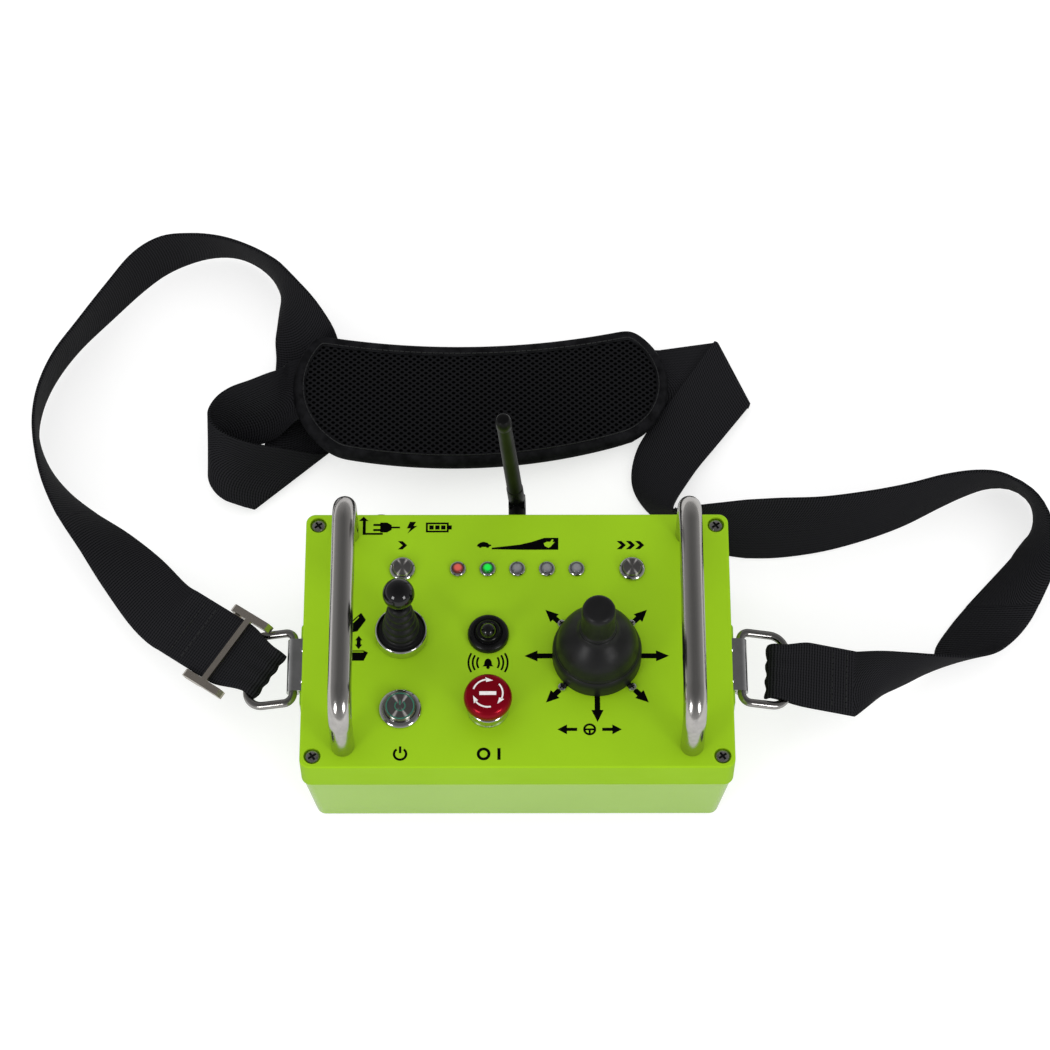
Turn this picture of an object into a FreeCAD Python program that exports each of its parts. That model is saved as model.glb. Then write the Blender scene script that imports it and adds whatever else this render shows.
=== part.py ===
"""Joystick remote control: a die-cast box with panel controls, antenna and neck strap.

Frame: millimetres, origin at the middle of the box's underside, +Z up, +X to the user's right,
+Y away from the user. The box stands on its underside with the strap laid round it.
"""
import FreeCAD, Part
import math
import os

from FreeCAD import Matrix, Vector

# Box
BOX_LENGTH = 222.0
BOX_WIDTH = 145.0
LID_HEIGHT = 22.0
BASE_HEIGHT = 53.0
BOX_CORNER = 5.0
BASE_DRAFT = 4.8
BASE_STEP = 0.6
BASE_EDGE = 2.5
WALL = 3.0
LID_PLATE = 3.5
LID_EDGE = 1.0
GASKET_WIDTH = 1.4
GASKET_DEPTH = 1.0

# Lid screws
SCREW_INSET = 6.5
SCREW_R = 2.0
SCREW_HEAD_R = 3.8
SCREW_HEAD_HEIGHT = 2.4
SCREW_RECESS_DEPTH = 2.7
SCREW_RECESS_GAP = 0.6
HEAD_CROWN = 0.7
SCREW_GRIP = 20.0
PILLAR_R = 6.5

# Fits
SEAT_CLEARANCE = 0.03
RUNNING_CLEARANCE = 0.06
HOLE_CLEARANCE = 0.15
SOFT_CLEARANCE = 0.3
TOUCH = 0.01

# Handles
HANDLE_BAR_R = 6.0
HANDLE_INSET_X = 22.0
HANDLE_INSET_Y = 12.0
HANDLE_HEIGHT = 42.0
HANDLE_BEND = 15.0
HANDLE_SCREW_R = 2.5
HANDLE_SCREW_DEPTH = 12.0
HANDLE_TAP_ROOM = 1.0
HANDLE_WASHER_R = 5.0
HANDLE_WASHER = 1.5
HANDLE_HEAD_R = 4.0
HANDLE_HEAD = 3.0

# Panel layout
LEFT_COLUMN = -60.0
MIDDLE_COLUMN = -15.0
LAMP_ROW = 40.0
LEVER_ROW = 2.0
BUTTON_ROW = -40.0
FAST_X = 60.0
STEERING_X = 41.0
STEERING_Y = -10.0
LAMP_PITCH = 15.5
LAMP_COUNT = 5
NUT_HEIGHT = 3.5
NUT_WALL = 2.5
SMALL_NUT_WALL = 1.5

# Tilt lever
TILT_BEZEL_R = 13.7
TILT_BEZEL_HEIGHT = 6.5
TILT_NECK_R = 11.0
TILT_NECK_DEPTH = 14.0
TILT_BORE_R = 8.4
TILT_PIVOT_DEPTH = 5.5
TILT_PIN_R = 1.5
TILT_ROD_R = 3.0
TILT_EYE_R = 4.2
TILT_TAIL = 14.0
TILT_TAIL_R = 2.1
TILT_STUD_R = 2.5
TILT_STUD_ROOM = 1.0
TILT_BODY = 26.0
TILT_BODY_HEIGHT = 16.0
BOOT_R = 10.0
BOOT_TOP_R = 6.4
BOOT_SEAT = 2.5
BOOT_HEIGHT = 34.0
BOOT_RINGS = 5
BOOT_FOLD = 1.6
BOOT_WAVE = (0.15, 0.4, 0.75, 0.98)
BOOT_WALL = 1.1
BALL_R = 8.2
BALL_HEIGHT = 48.5
BALL_FLAT = 0.8

# Alarm toggle
ALARM_BEZEL_R = 10.7
ALARM_BEZEL_HEIGHT = 4.0
ALARM_EDGE = 2.0
ALARM_DISH = 0.6
ALARM_BUSH_R = 6.2
ALARM_BUSH_HEIGHT = 6.0
ALARM_NECK_R = 6.0
ALARM_NECK_DEPTH = 16.0
ALARM_BORE_R = 4.2
ALARM_PIVOT_HEIGHT = 2.0
ALARM_BALL_R = 3.9
ALARM_SHANK_R = 2.1
ALARM_TIP_R = 3.9
ALARM_LENGTH = 14.5
ALARM_SHANK_TOP_R = 3.1
ALARM_TAIL = 6.0
ALARM_TAIL_R = 1.5
ALARM_PIN_R = 1.0
ALARM_PIN_HALF = 5.4
ALARM_LEAN = 20.0
ALARM_BODY_X = 14.0
ALARM_BODY_Y = 20.0
ALARM_BODY_HEIGHT = 15.0

# Steering joystick
COLLAR_R = 23.0
COLLAR_WALL = 4.0
COLLAR_HEIGHT = 12.0
COLLAR_EDGE = 1.0
DOME_R = 22.2
DOME_HEIGHT = 22.0
DOME_WALL = 1.5
DOME_TURNS = (0, 18, 36, 54, 68)
DOME_SHOULDER = 0.93
STICK_R = 4.0
STICK_SPIGOT_R = 3.0
STICK_PIVOT_DEPTH = 14.0
STICK_HUB_R = 6.0
KNOB_R = 8.7
KNOB_HEIGHT = 23.0
KNOB_ROUND = 4.0
KNOB_ROOF = 2.0
SPIGOT_ROOM = 1.0
GIMBAL_SIZE = 46.0
GIMBAL_WALL = 3.0
GIMBAL_DEPTH = 36.0
GIMBAL_FLANGE = 3.0
YOKE_SIZE = 25.0
YOKE_WALL = 4.0
YOKE_HEIGHT = 6.0
TRUNNION_R = 2.0
SENSOR_R = 4.5
SENSOR_LENGTH = 3.0
STEERING_HOLE_R = 17.0
STEERING_SCREW_SPACING = 36.0
STEERING_SCREW_R = 1.5
STEERING_HEAD_R = 2.4
STEERING_HEAD = 1.8

# Push buttons
SPEED_FLANGE_R = 6.9
SPEED_FLANGE = 2.0
SPEED_NECK_R = 6.0
SPEED_NECK_DEPTH = 22.0
SPEED_CAP_R = 5.0
SPEED_CAP_RISE = 1.4
SPEED_TRAVEL = 1.2
POWER_FLANGE_R = 11.0
POWER_FLANGE = 2.2
POWER_NECK_R = 9.5
POWER_NECK_DEPTH = 26.0
POWER_CAP_R = 8.0
POWER_CAP_RISE = 2.2
POWER_TRAVEL = 2.0
POWER_RING_R = 7.2
POWER_RING_WIDTH = 1.2
POWER_RING_DEPTH = 1.0
CAP_LENGTH = 9.0
CAP_EDGE = 0.5
FLANGE_BEVEL = 0.6

# Stop button
STOP_FLANGE_R = 10.7
STOP_FLANGE = 1.9
STOP_FLANGE_EDGE = 0.7
STOP_SKIRT_R = 9.9
STOP_SKIRT = 5.3
STOP_SKIRT_EDGE = 0.6
STOP_NECK_R = 8.0
STOP_NECK_DEPTH = 26.0
STOP_STEM_R = 5.0
STOP_SPIGOT_R = 4.0
STOP_SPIGOT = 6.0
STOP_HEAD_R = 12.4
STOP_HEAD_HEIGHT = 10.0
STOP_HEAD_LIFT = 9.8
STOP_HEAD_CURVE = ((4.0, 0.0), (1.2, 0.15), (0.0, 0.35), (0.0, 0.5), (1.0, 0.78), (3.0, 0.94), (6.0, 1.0))
STOP_TRAVEL = 4.0
STOP_BLOCK = 18.0
STOP_BLOCK_HEIGHT = 11.0

# Lamps
LAMP_BEZEL_R = 4.4
LAMP_BEZEL = 1.6
LAMP_BEZEL_EDGE = 0.8
LAMP_NECK_R = 3.9
LAMP_NECK_DEPTH = 9.0
LAMP_LENS_R = 2.9
LAMP_LENS_RISE = 2.6
LAMP_LENS_CROWN_R = 2.3
LAMP_LENS_FALL = 0.3

# Rear wall: antenna and charge socket
ANTENNA_X = 0.0
ANTENNA_DROP = 12.0
ANTENNA_LEAN = 4.5
ANTENNA_BARREL_R = 3.1
ANTENNA_BARREL = 5.5
ANTENNA_HEX = 9.0
ANTENNA_HEX_LENGTH = 2.5
ANTENNA_ELBOW_R = 4.6
ANTENNA_TONGUE = 3.6
ANTENNA_EYE_R = 3.6
ANTENNA_PIN_R = 1.0
ANTENNA_WHIP_R = 4.4
ANTENNA_TIP_R = 3.9
ANTENNA_LENGTH = 93.0
ANTENNA_SLEEVE = 12.0
ANTENNA_CAP = 9.0
ANTENNA_CAP_EDGE = 2.0
ANTENNA_STEP = 0.3
CHARGE_X = -72.0
CHARGE_DROP = 12.5
CHARGE_FLANGE_R = 7.0
CHARGE_FLANGE = 1.6
CHARGE_BARREL_R = 5.0
CHARGE_BARREL = 2.2
CHARGE_BORE_R = 3.2
CHARGE_PIN_R = 1.0
CHARGE_PIN_DEPTH = 1.0
CHARGE_NECK = 12.0

# Strap brackets and rings
PAD_WIDTH = 48.0
PAD_REACH = 3.0
PAD_TOP = 42.4
PAD_HEIGHT = 16.0
BRACKET_WIDTH = 30.0
BRACKET_SHEET = 1.2
BRACKET_SCREW_PITCH = 18.0
BRACKET_SCREW_R = 1.3
BRACKET_SCREW_OUT = 1.3
BRACKET_SCREW_HEAD_R = 2.0
BRACKET_SCREW_HEAD = 1.3
BRACKET_SCREW_LENGTH = 10.0
RING_WIRE_R = 2.2
RING_WIDTH = 40.5
RING_DEPTH = 25.67
RING_BAR_CORNER = 5.0
RING_OUTER_CORNER = 9.0
RING_DROOP = 16.0

# Strap
WEBBING = 38.0
WEBBING_THICKNESS = 1.6
GATHERED = 24.0
LOOP_GAP = 0.6
LEFT_LOOP_Y = 4.4
LEFT_LOOP_HEADING = 37.0
LEFT_LOOP_REACH = 46.0
RIGHT_LOOP_Y = -1.0
RIGHT_LOOP_HEADING = -4.0
RIGHT_LOOP_REACH = 36.0
LOOP_BACK = 10.5
LOOP_LEAD = 6.0

# Slider
SLIDER_PLACE = 13.0
SLIDER_LENGTH = 27.0
SLIDER_RAIL = 4.0
SLIDER_BAR = 2.0
SLIDER_BAR_WIDTH = 3.5

# Neck pad
PAD_THICKNESS = 13.0
PAD_LEFT_LIFT = 20.0
PAD_RIGHT_LIFT = 4.0
PAD_LEFT = (-124.6, 177.5)
PAD_TOP_LEFT = (-111.5, 210.8)
PAD_TOP_MIDDLE = (-20.7, 207.7)
PAD_TOP_RIGHT = (61.5, 221.8)
PAD_RIGHT = (80.7, 186.5)
PAD_BOTTOM_RIGHT = (62.6, 151.2)
PAD_BOTTOM_MIDDLE = (-20.2, 132.1)
PAD_BOTTOM_LEFT = (-98.9, 135.1)
PAD_ROUND = 4.5

# Webbing routes: centre x, y, z and lean, the turn in degrees that lifts the edge on the left of travel
LEFT_ROUTE = [
    (-193.5, 46.9, 20.5, 20), (-207, 65.2, 17.5, 32), (-221.7, 83.4, 15.8, 42), (-240.1, 102.6, 16.8, 56),
    (-252.2, 118.9, 18.5, 69), (-261.3, 138.1, 19.8, 84), (-265.4, 156.3, 20, 93), (-263.9, 174.4, 20, 96),
    (-257.3, 193.6, 20, 97), (-245.2, 213.8, 20, 97), (-229, 236, 20, 91), (-213.9, 255.2, 20, 86),
    (-199.8, 266.3, 20, 89), (-183.6, 271.3, 20, 98), (-169.5, 272.3, 20, 104), (-157.4, 269.8, 20, 106),
    (-145.5, 263.2, 20, 103), (-136.4, 254.2, 20, 95), (-129.8, 242.6, 19.6, 80), (-122.5, 225.5, 15.2, 50),
    (-117.6, 210.5, 8, 22), (-117.2, 193.5, 3.6, 6), (-118.6, 178, 2.4, 0),
]
LEFT_TWIST = [
    ((-140, 158, 1.8), (-101.8, 167, 2.6)), ((-141.6, 136, 1.5), (-102.4, 157, 2.8)),
    ((-143.4, 118, 1.8), (-103.6, 150.6, 3.4)), ((-145, 113.2, 3.2), (-105.8, 147.2, 5)),
    ((-148, 113, 4.6), (-111, 144.9, 8.4)), ((-152, 113.9, 5.4), (-119, 143.8, 13)),
    ((-156.5, 115.2, 6), (-131, 142.2, 20.5)), ((-161, 117, 6.8), (-144, 140.8, 27.5)),
    ((-165.3, 120.6, 7.6), (-156, 142.2, 33)), ((-168.6, 126, 8), (-164, 145.6, 36.6)),
    ((-170, 132.6, 7.6), (-168, 150.6, 38)), ((-168.6, 139.6, 6.4), (-168.4, 157.4, 37)),
    ((-163.4, 146.6, 4.6), (-164.4, 166.6, 34.4)), ((-154, 151, 3.6), (-157.4, 174, 31.8)),
    ((-142, 153.4, 4), (-147.5, 180, 29)), ((-134, 156, 5.4), (-138.5, 186.4, 25.4)),
    ((-127.6, 159.6, 9), (-131, 192.2, 21)), ((-121.6, 162.6, 14.4), (-125, 198.6, 18.4)),
]
PAD_ROUTE = [
    (-109, 183.5), (-70.6, 175.4), (-20.2, 170.4), (30.3, 177.4), (53.5, 188.5),
    (67.6, 193.5), (80.7, 194.5),
]
FOLD_REAR = (111.5, 215.7)
FOLD_FRONT = (128.1, 178.4)
RIGHT_ROUTE = [
    (103.9, 177.4, 6.4, 0), (96.9, 168.6, 6.4, 2), (89.8, 155.2, 6.6, 9), (83.7, 135, 9.5, 25),
    (85.8, 114.9, 16.5, 54), (98.9, 98.8, 19.5, 73), (119.1, 92.7, 18, 63), (142.3, 93.7, 17.5, 60),
    (166.5, 95.7, 18.3, 67), (191.7, 100.8, 19.2, 75), (211.9, 106.8, 19.6, 82), (232.1, 114.9, 19.8, 90),
    (248.2, 120, 19.7, 98), (262.3, 122, 19.2, 106), (273.4, 118.9, 19, 110), (280.5, 109.9, 19.4, 104),
    (283.5, 94.7, 19.5, 82), (281.5, 77.6, 16, 52), (271.4, 59.4, 12, 36), (257.3, 42.2, 11, 32),
    (243, 26.6, 14.5, 42), (228.9, 14.7, 19.2, 72), (212.4, 5.6, 20.5, 122), (196.4, -1.9, 22, 163),
]

# Inside the box
BOARD_LENGTH = 104.0
BOARD_WIDTH = 62.0
BOARD = 1.6
BOARD_X = -42.0
BOARD_FROM_FRONT = 44.5
BOARD_BOSS = 5.0
BOARD_BOSS_R = 3.5
BOARD_SCREW_INSET = 5.0
BOARD_SCREW_R = 1.25
BOARD_SCREW_HEAD_R = 2.6
BOARD_SCREW_HEAD = 1.6
BOARD_SCREW_ROOM = 1.0
BATTERY_LENGTH = 70.0
BATTERY_WIDTH = 38.0
BATTERY_HEIGHT = 18.0
BATTERY_X = -55.0
BATTERY_FROM_REAR = 34.5

# Places and heights worked out from the box
TOP = BASE_HEIGHT + LID_HEIGHT
UNDER_LID = TOP - LID_PLATE
SCREW_X = BOX_LENGTH / 2 - SCREW_INSET
SCREW_Y = BOX_WIDTH / 2 - SCREW_INSET
REAR = BOX_WIDTH / 2
HANDLE_X = BOX_LENGTH / 2 - HANDLE_INSET_X
HANDLE_SPAN = BOX_WIDTH - 2 * HANDLE_INSET_Y
BOARD_Y = BOARD_FROM_FRONT - REAR
BATTERY_Y = REAR - BATTERY_FROM_REAR
KNUCKLE_R = RING_WIRE_R + RUNNING_CLEARANCE + BRACKET_SHEET
RING_X = BOX_LENGTH / 2 + PAD_REACH + HOLE_CLEARANCE + KNUCKLE_R
RING_Z = PAD_TOP + BRACKET_SHEET - KNUCKLE_R


def save(name, shape):
    """Write one node, as a single shape or as a compound of equal pieces."""
    solid = shape if not isinstance(shape, list) else Part.makeCompound(shape)
    if not solid.isValid():
        raise ValueError(name + " is not a valid shape")
    solid.exportStep("parts/" + name + ".step")


def cylinder(x, y, low, high, radius):
    """Upright cylinder between two heights."""
    return Part.makeCylinder(radius, high - low, Vector(x, y, low))


def bar(start, end, radius):
    """Round bar between two points."""
    run = end - start
    return Part.makeCylinder(radius, run.Length, start, run)


def block(x, y, low, high, length, width):
    """Upright block centred on x, y."""
    return Part.makeBox(length, width, high - low, Vector(x - length / 2, y - width / 2, low))


def turned(x, y, profile):
    """Solid of revolution about an upright axis, from (radius, height) points."""
    points = [Vector(radius, 0, height) for radius, height in profile]
    face = Part.Face(Part.makePolygon(points + points[:1]))
    solid = face.revolve(Vector(0, 0, 0), Vector(0, 0, 1), 360)
    solid.translate(Vector(x, y, 0))
    return solid


def hexagon(flats, height):
    """Hexagonal prism on the origin."""
    radius = flats / math.sqrt(3)
    corners = [math.radians(60 * side) for side in range(6)]
    points = [Vector(radius * math.cos(turn), radius * math.sin(turn), 0) for turn in corners]
    return Part.Face(Part.makePolygon(points + points[:1])).extrude(Vector(0, 0, height))


def panel_nut(x, y, neck_r, wall):
    """Hexagonal nut clamped under the lid on a threaded neck."""
    nut = hexagon(2 * (neck_r + wall), NUT_HEIGHT)
    nut.translate(Vector(x, y, UNDER_LID - NUT_HEIGHT))
    return nut.cut(cylinder(x, y, UNDER_LID - NUT_HEIGHT, UNDER_LID, neck_r + SEAT_CLEARANCE))


def rounded_outline(length, width, corner, height):
    """Closed wire of a rectangle with round corners at one height."""
    x, y = length / 2 - corner, width / 2 - corner
    edges = []
    for turn, (cx, cy) in enumerate([(x, y), (-x, y), (-x, -y), (x, -y)]):
        angles = [math.radians(90 * turn + part) for part in (0, 45, 90)]
        arc = [Vector(cx + corner * math.cos(a), cy + corner * math.sin(a), height) for a in angles]
        edges.append(Part.Arc(*arc).toShape())
    joined = []
    for index, edge in enumerate(edges):
        following = edges[(index + 1) % 4]
        joined += [edge, Part.LineSegment(edge.valueAt(edge.LastParameter),
                                          following.valueAt(following.FirstParameter)).toShape()]
    return Part.Wire(joined)


def rounded_block(length, width, corner, low, high):
    """Upright prism of a rounded rectangle centred on the origin."""
    return Part.Face(rounded_outline(length, width, corner, low)).extrude(Vector(0, 0, high - low))


def corners(x, y):
    """The four mirrored places of one corner."""
    return [(sx * x, sy * y) for sx in (-1, 1) for sy in (-1, 1)]


def tapered(inset, low, high):
    """Drafted body of the base between two heights, set in from its outside by one wall."""
    wires = []
    for height in (low, high):
        shrink = 2 * (BASE_STEP + inset + BASE_DRAFT * (1 - height / BASE_HEIGHT))
        wires.append(rounded_outline(BOX_LENGTH - shrink, BOX_WIDTH - shrink, BOX_CORNER - inset, height))
    return Part.makeLoft(wires, True, True)


def base_housing():
    """Drafted tub with screw pillars, gasket groove, strap ledges and board bosses."""
    outside = tapered(0, 0, BASE_HEIGHT)
    bottom = [edge for edge in outside.Edges if edge.BoundBox.ZMax < TOUCH]
    outside = outside.makeFillet(BASE_EDGE, bottom)
    inside = tapered(WALL, WALL, BASE_HEIGHT)
    pillars = [cylinder(x, y, 0, BASE_HEIGHT, PILLAR_R) for x, y in corners(SCREW_X, SCREW_Y)]
    inside = inside.cut(Part.makeCompound(pillars))
    reach = BOX_LENGTH / 2 + PAD_REACH
    ledge = rounded_block(2 * reach, PAD_WIDTH, BASE_EDGE, PAD_TOP - PAD_HEIGHT, PAD_TOP)
    tub = outside.fuse(ledge).cut(inside)
    for x, y in board_corners():
        tub = tub.fuse(cylinder(x, y, WALL, WALL + BOARD_BOSS, BOARD_BOSS_R))
    holes = [cylinder(x, y, BASE_HEIGHT - SCREW_GRIP, BASE_HEIGHT, SCREW_R + SEAT_CLEARANCE)
             for x, y in corners(SCREW_X, SCREW_Y)]
    holes += [cylinder(x, y, WALL, WALL + BOARD_BOSS, BOARD_SCREW_R + SEAT_CLEARANCE)
              for x, y in board_corners()]
    holes += [cylinder(x, y, PAD_TOP - BRACKET_SCREW_LENGTH, PAD_TOP, BRACKET_SCREW_R + SEAT_CLEARANCE)
              for x, y in bracket_screw_places()]
    return tub.cut(Part.makeCompound(holes + [gasket()])).removeSplitter()


def gasket():
    """Flat seal in the groove of the base's rim."""
    middle = BASE_STEP + WALL / 2
    rings = []
    for inset in (middle - GASKET_WIDTH / 2, middle + GASKET_WIDTH / 2):
        rings.append(rounded_block(BOX_LENGTH - 2 * inset, BOX_WIDTH - 2 * inset, BOX_CORNER - inset,
                                   BASE_HEIGHT - GASKET_DEPTH, BASE_HEIGHT))
    return rings[0].cut(rings[1])


def lid():
    """Shallow cast lid with screw recesses, panel holes and the two rear holes."""
    shell = rounded_block(BOX_LENGTH, BOX_WIDTH, BOX_CORNER, BASE_HEIGHT, TOP)
    rim = [edge for edge in shell.Edges if edge.BoundBox.ZMin > TOP - TOUCH]
    shell = shell.makeFillet(LID_EDGE, rim)
    cavity = rounded_block(BOX_LENGTH - 2 * WALL, BOX_WIDTH - 2 * WALL, BOX_CORNER - WALL,
                           BASE_HEIGHT, UNDER_LID)
    pillars = [cylinder(x, y, BASE_HEIGHT, UNDER_LID, PILLAR_R) for x, y in corners(SCREW_X, SCREW_Y)]
    holes = [cavity.cut(Part.makeCompound(pillars))]
    for x, y in corners(SCREW_X, SCREW_Y):
        holes.append(cylinder(x, y, BASE_HEIGHT, TOP, SCREW_R + HOLE_CLEARANCE))
        holes.append(cylinder(x, y, TOP - SCREW_RECESS_DEPTH, TOP, SCREW_HEAD_R + SCREW_RECESS_GAP))
    necks = [(LEFT_COLUMN, LEVER_ROW, TILT_NECK_R), (MIDDLE_COLUMN, LEVER_ROW, ALARM_NECK_R),
             (LEFT_COLUMN, LAMP_ROW, SPEED_NECK_R), (FAST_X, LAMP_ROW, SPEED_NECK_R),
             (LEFT_COLUMN, BUTTON_ROW, POWER_NECK_R), (MIDDLE_COLUMN, BUTTON_ROW, STOP_NECK_R),
             (STEERING_X, STEERING_Y, STEERING_HOLE_R)]
    necks += [(x, LAMP_ROW, LAMP_NECK_R) for x in lamp_places()]
    necks += [(x, y, HANDLE_SCREW_R) for x, y in handle_feet()]
    necks += [(x, y, STEERING_SCREW_R) for x, y in steering_screw_places()]
    holes += [cylinder(x, y, UNDER_LID, TOP, radius + HOLE_CLEARANCE) for x, y, radius in necks]
    rear = [(ANTENNA_X, ANTENNA_DROP, ANTENNA_BARREL_R), (CHARGE_X, CHARGE_DROP, CHARGE_BARREL_R)]
    for x, drop, radius in rear:
        inside = Vector(x, REAR - WALL, TOP - drop)
        holes.append(bar(inside, inside + Vector(0, WALL, 0), radius + HOLE_CLEARANCE))
    return shell.cut(Part.makeCompound(holes)).removeSplitter()


def lid_screws():
    """Pan-head screws at the bottom of the lid's recesses."""
    seat = TOP - SCREW_RECESS_DEPTH
    low = BASE_HEIGHT - SCREW_GRIP + HOLE_CLEARANCE
    crown = seat + SCREW_HEAD_HEIGHT
    profile = [(0, low), (SCREW_R, low), (SCREW_R, seat), (SCREW_HEAD_R, seat),
               (SCREW_HEAD_R, seat + SCREW_HEAD_HEIGHT / 2), (SCREW_HEAD_R * HEAD_CROWN, crown), (0, crown)]
    return [turned(x, y, profile) for x, y in corners(SCREW_X, SCREW_Y)]


def handle_feet():
    """Where the four handle feet stand on the lid."""
    return corners(HANDLE_X, HANDLE_SPAN / 2)


def bent_wire(points, bends, closed):
    """Wire through flat square corners, each rounded by its bend; a bend of 0 leaves a plain end."""
    count = len(points)
    arcs = []
    for index, (corner, bend) in enumerate(zip(points, bends)):
        back = (points[index - 1] - corner).normalize() * bend
        onward = (points[(index + 1) % count] - corner).normalize() * bend
        middle = corner + (back + onward) * (1 - math.sqrt(0.5))
        arcs.append((corner + back, middle, corner + onward))
    edges = []
    for index, arc in enumerate(arcs):
        if bends[index]:
            edges.append(Part.Arc(*arc).toShape())
        if closed or index + 1 < count:
            edges.append(Part.LineSegment(arc[2], arcs[(index + 1) % count][0]).toShape())
    return Part.Wire(edges)


def round_bar(wire, radius, start, along):
    """Round bar swept along a bent wire from its start."""
    section = Part.Wire(Part.makeCircle(radius, start, along))
    return wire.makePipeShell([section], True, False)


def handle(x):
    """Round bar bent to a U, standing on the lid on two tapped feet."""
    y, top = HANDLE_SPAN / 2, TOP + HANDLE_HEIGHT
    feet = [Vector(x, -y, TOP), Vector(x, y, TOP)]
    wire = bent_wire([feet[0], Vector(x, -y, top), Vector(x, y, top), feet[1]],
                     [0, HANDLE_BEND, HANDLE_BEND, 0], False)
    grip = round_bar(wire, HANDLE_BAR_R, feet[0], Vector(0, 0, 1))
    tap_r = HANDLE_SCREW_R + SEAT_CLEARANCE
    taps = [cylinder(x, foot.y, TOP, TOP + HANDLE_SCREW_DEPTH, tap_r) for foot in feet]
    return grip.cut(Part.makeCompound(taps))


def handle_screws():
    """Washer-faced screws through the lid into the handle feet."""
    under = UNDER_LID - HANDLE_WASHER
    tip = TOP + HANDLE_SCREW_DEPTH - HANDLE_TAP_ROOM
    profile = [(0, under - HANDLE_HEAD), (HANDLE_HEAD_R, under - HANDLE_HEAD), (HANDLE_HEAD_R, under),
               (HANDLE_WASHER_R, under), (HANDLE_WASHER_R, UNDER_LID), (HANDLE_SCREW_R, UNDER_LID),
               (HANDLE_SCREW_R, tip), (0, tip)]
    return [turned(x, y, profile) for x, y in handle_feet()]


def tilt_lever():
    """One-axis lever: bezel, body, pivot pin, rod, bellows boot and ball knob."""
    x, y = LEFT_COLUMN, LEVER_ROW
    neck_end = TOP - TILT_NECK_DEPTH
    pivot = TOP - TILT_PIVOT_DEPTH
    rim = TOP + TILT_BEZEL_HEIGHT
    seat = TOP + BOOT_SEAT
    slope = (TILT_BEZEL_R - BOOT_R) / 2
    boot_seat_r = BOOT_R + HOLE_CLEARANCE
    bezel = turned(x, y, [(TILT_BORE_R, neck_end), (TILT_NECK_R, neck_end), (TILT_NECK_R, TOP),
                          (TILT_BEZEL_R, TOP), (TILT_BEZEL_R, rim - slope), (TILT_BEZEL_R - slope, rim),
                          (boot_seat_r, rim), (boot_seat_r, seat), (TILT_BORE_R, seat)])
    pin_half = TILT_NECK_R - HOLE_CLEARANCE
    ends = Vector(x - pin_half, y, pivot), Vector(x + pin_half, y, pivot)
    save("tilt_bezel", bezel.cut(bar(*ends, TILT_PIN_R + SEAT_CLEARANCE)))
    save("tilt_pin", bar(*ends, TILT_PIN_R))
    low = neck_end - TILT_BODY_HEIGHT
    body = block(x, y, low, neck_end, TILT_BODY, TILT_BODY)
    save("tilt_body", body.cut(cylinder(x, y, low + WALL, neck_end, TILT_BORE_R)))
    ball = TOP + BALL_HEIGHT
    shoulder = ball - BALL_R + BALL_FLAT
    rod = cylinder(x, y, pivot, shoulder, TILT_ROD_R)
    rod = rod.fuse(cylinder(x, y, shoulder, ball - TILT_STUD_ROOM, TILT_STUD_R))
    rod = rod.fuse(cylinder(x, y, pivot - TILT_TAIL, pivot, TILT_TAIL_R))
    rod = rod.fuse(bar(Vector(x - TILT_EYE_R, y, pivot), Vector(x + TILT_EYE_R, y, pivot), TILT_EYE_R))
    save("tilt_rod", rod.cut(bar(*ends, TILT_PIN_R + RUNNING_CLEARANCE)).removeSplitter())
    knob = Part.makeSphere(BALL_R, Vector(x, y, ball)).cut(block(x, y, 0, shoulder, 4 * BALL_R, 4 * BALL_R))
    save("tilt_knob", knob.cut(cylinder(x, y, shoulder, ball, TILT_STUD_R + SEAT_CLEARANCE)))
    save("tilt_boot", bellows(x, y, seat))


def bellows(x, y, seat):
    """Tapered rubber bellows from the bezel's seat up to the lever rod."""
    base = TOP + TILT_BEZEL_HEIGHT
    pitch = (seat + BOOT_HEIGHT - base) / BOOT_RINGS
    outer = [(BOOT_R, seat), (BOOT_R, base)]
    for ring in range(BOOT_RINGS):
        radius = BOOT_R + (BOOT_TOP_R - BOOT_R) * ring / (BOOT_RINGS - 1)
        low = base + pitch * ring
        waves = zip((radius - BOOT_FOLD, radius, radius, radius - BOOT_FOLD), BOOT_WAVE)
        outer += [(wave_r, low + pitch * share) for wave_r, share in waves]
    gap = TILT_ROD_R + HOLE_CLEARANCE
    inner = [(max(radius - BOOT_WALL, gap), height) for radius, height in outer]
    inner[-1] = (gap, outer[-1][1])
    return turned(x, y, outer + inner[::-1])


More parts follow.
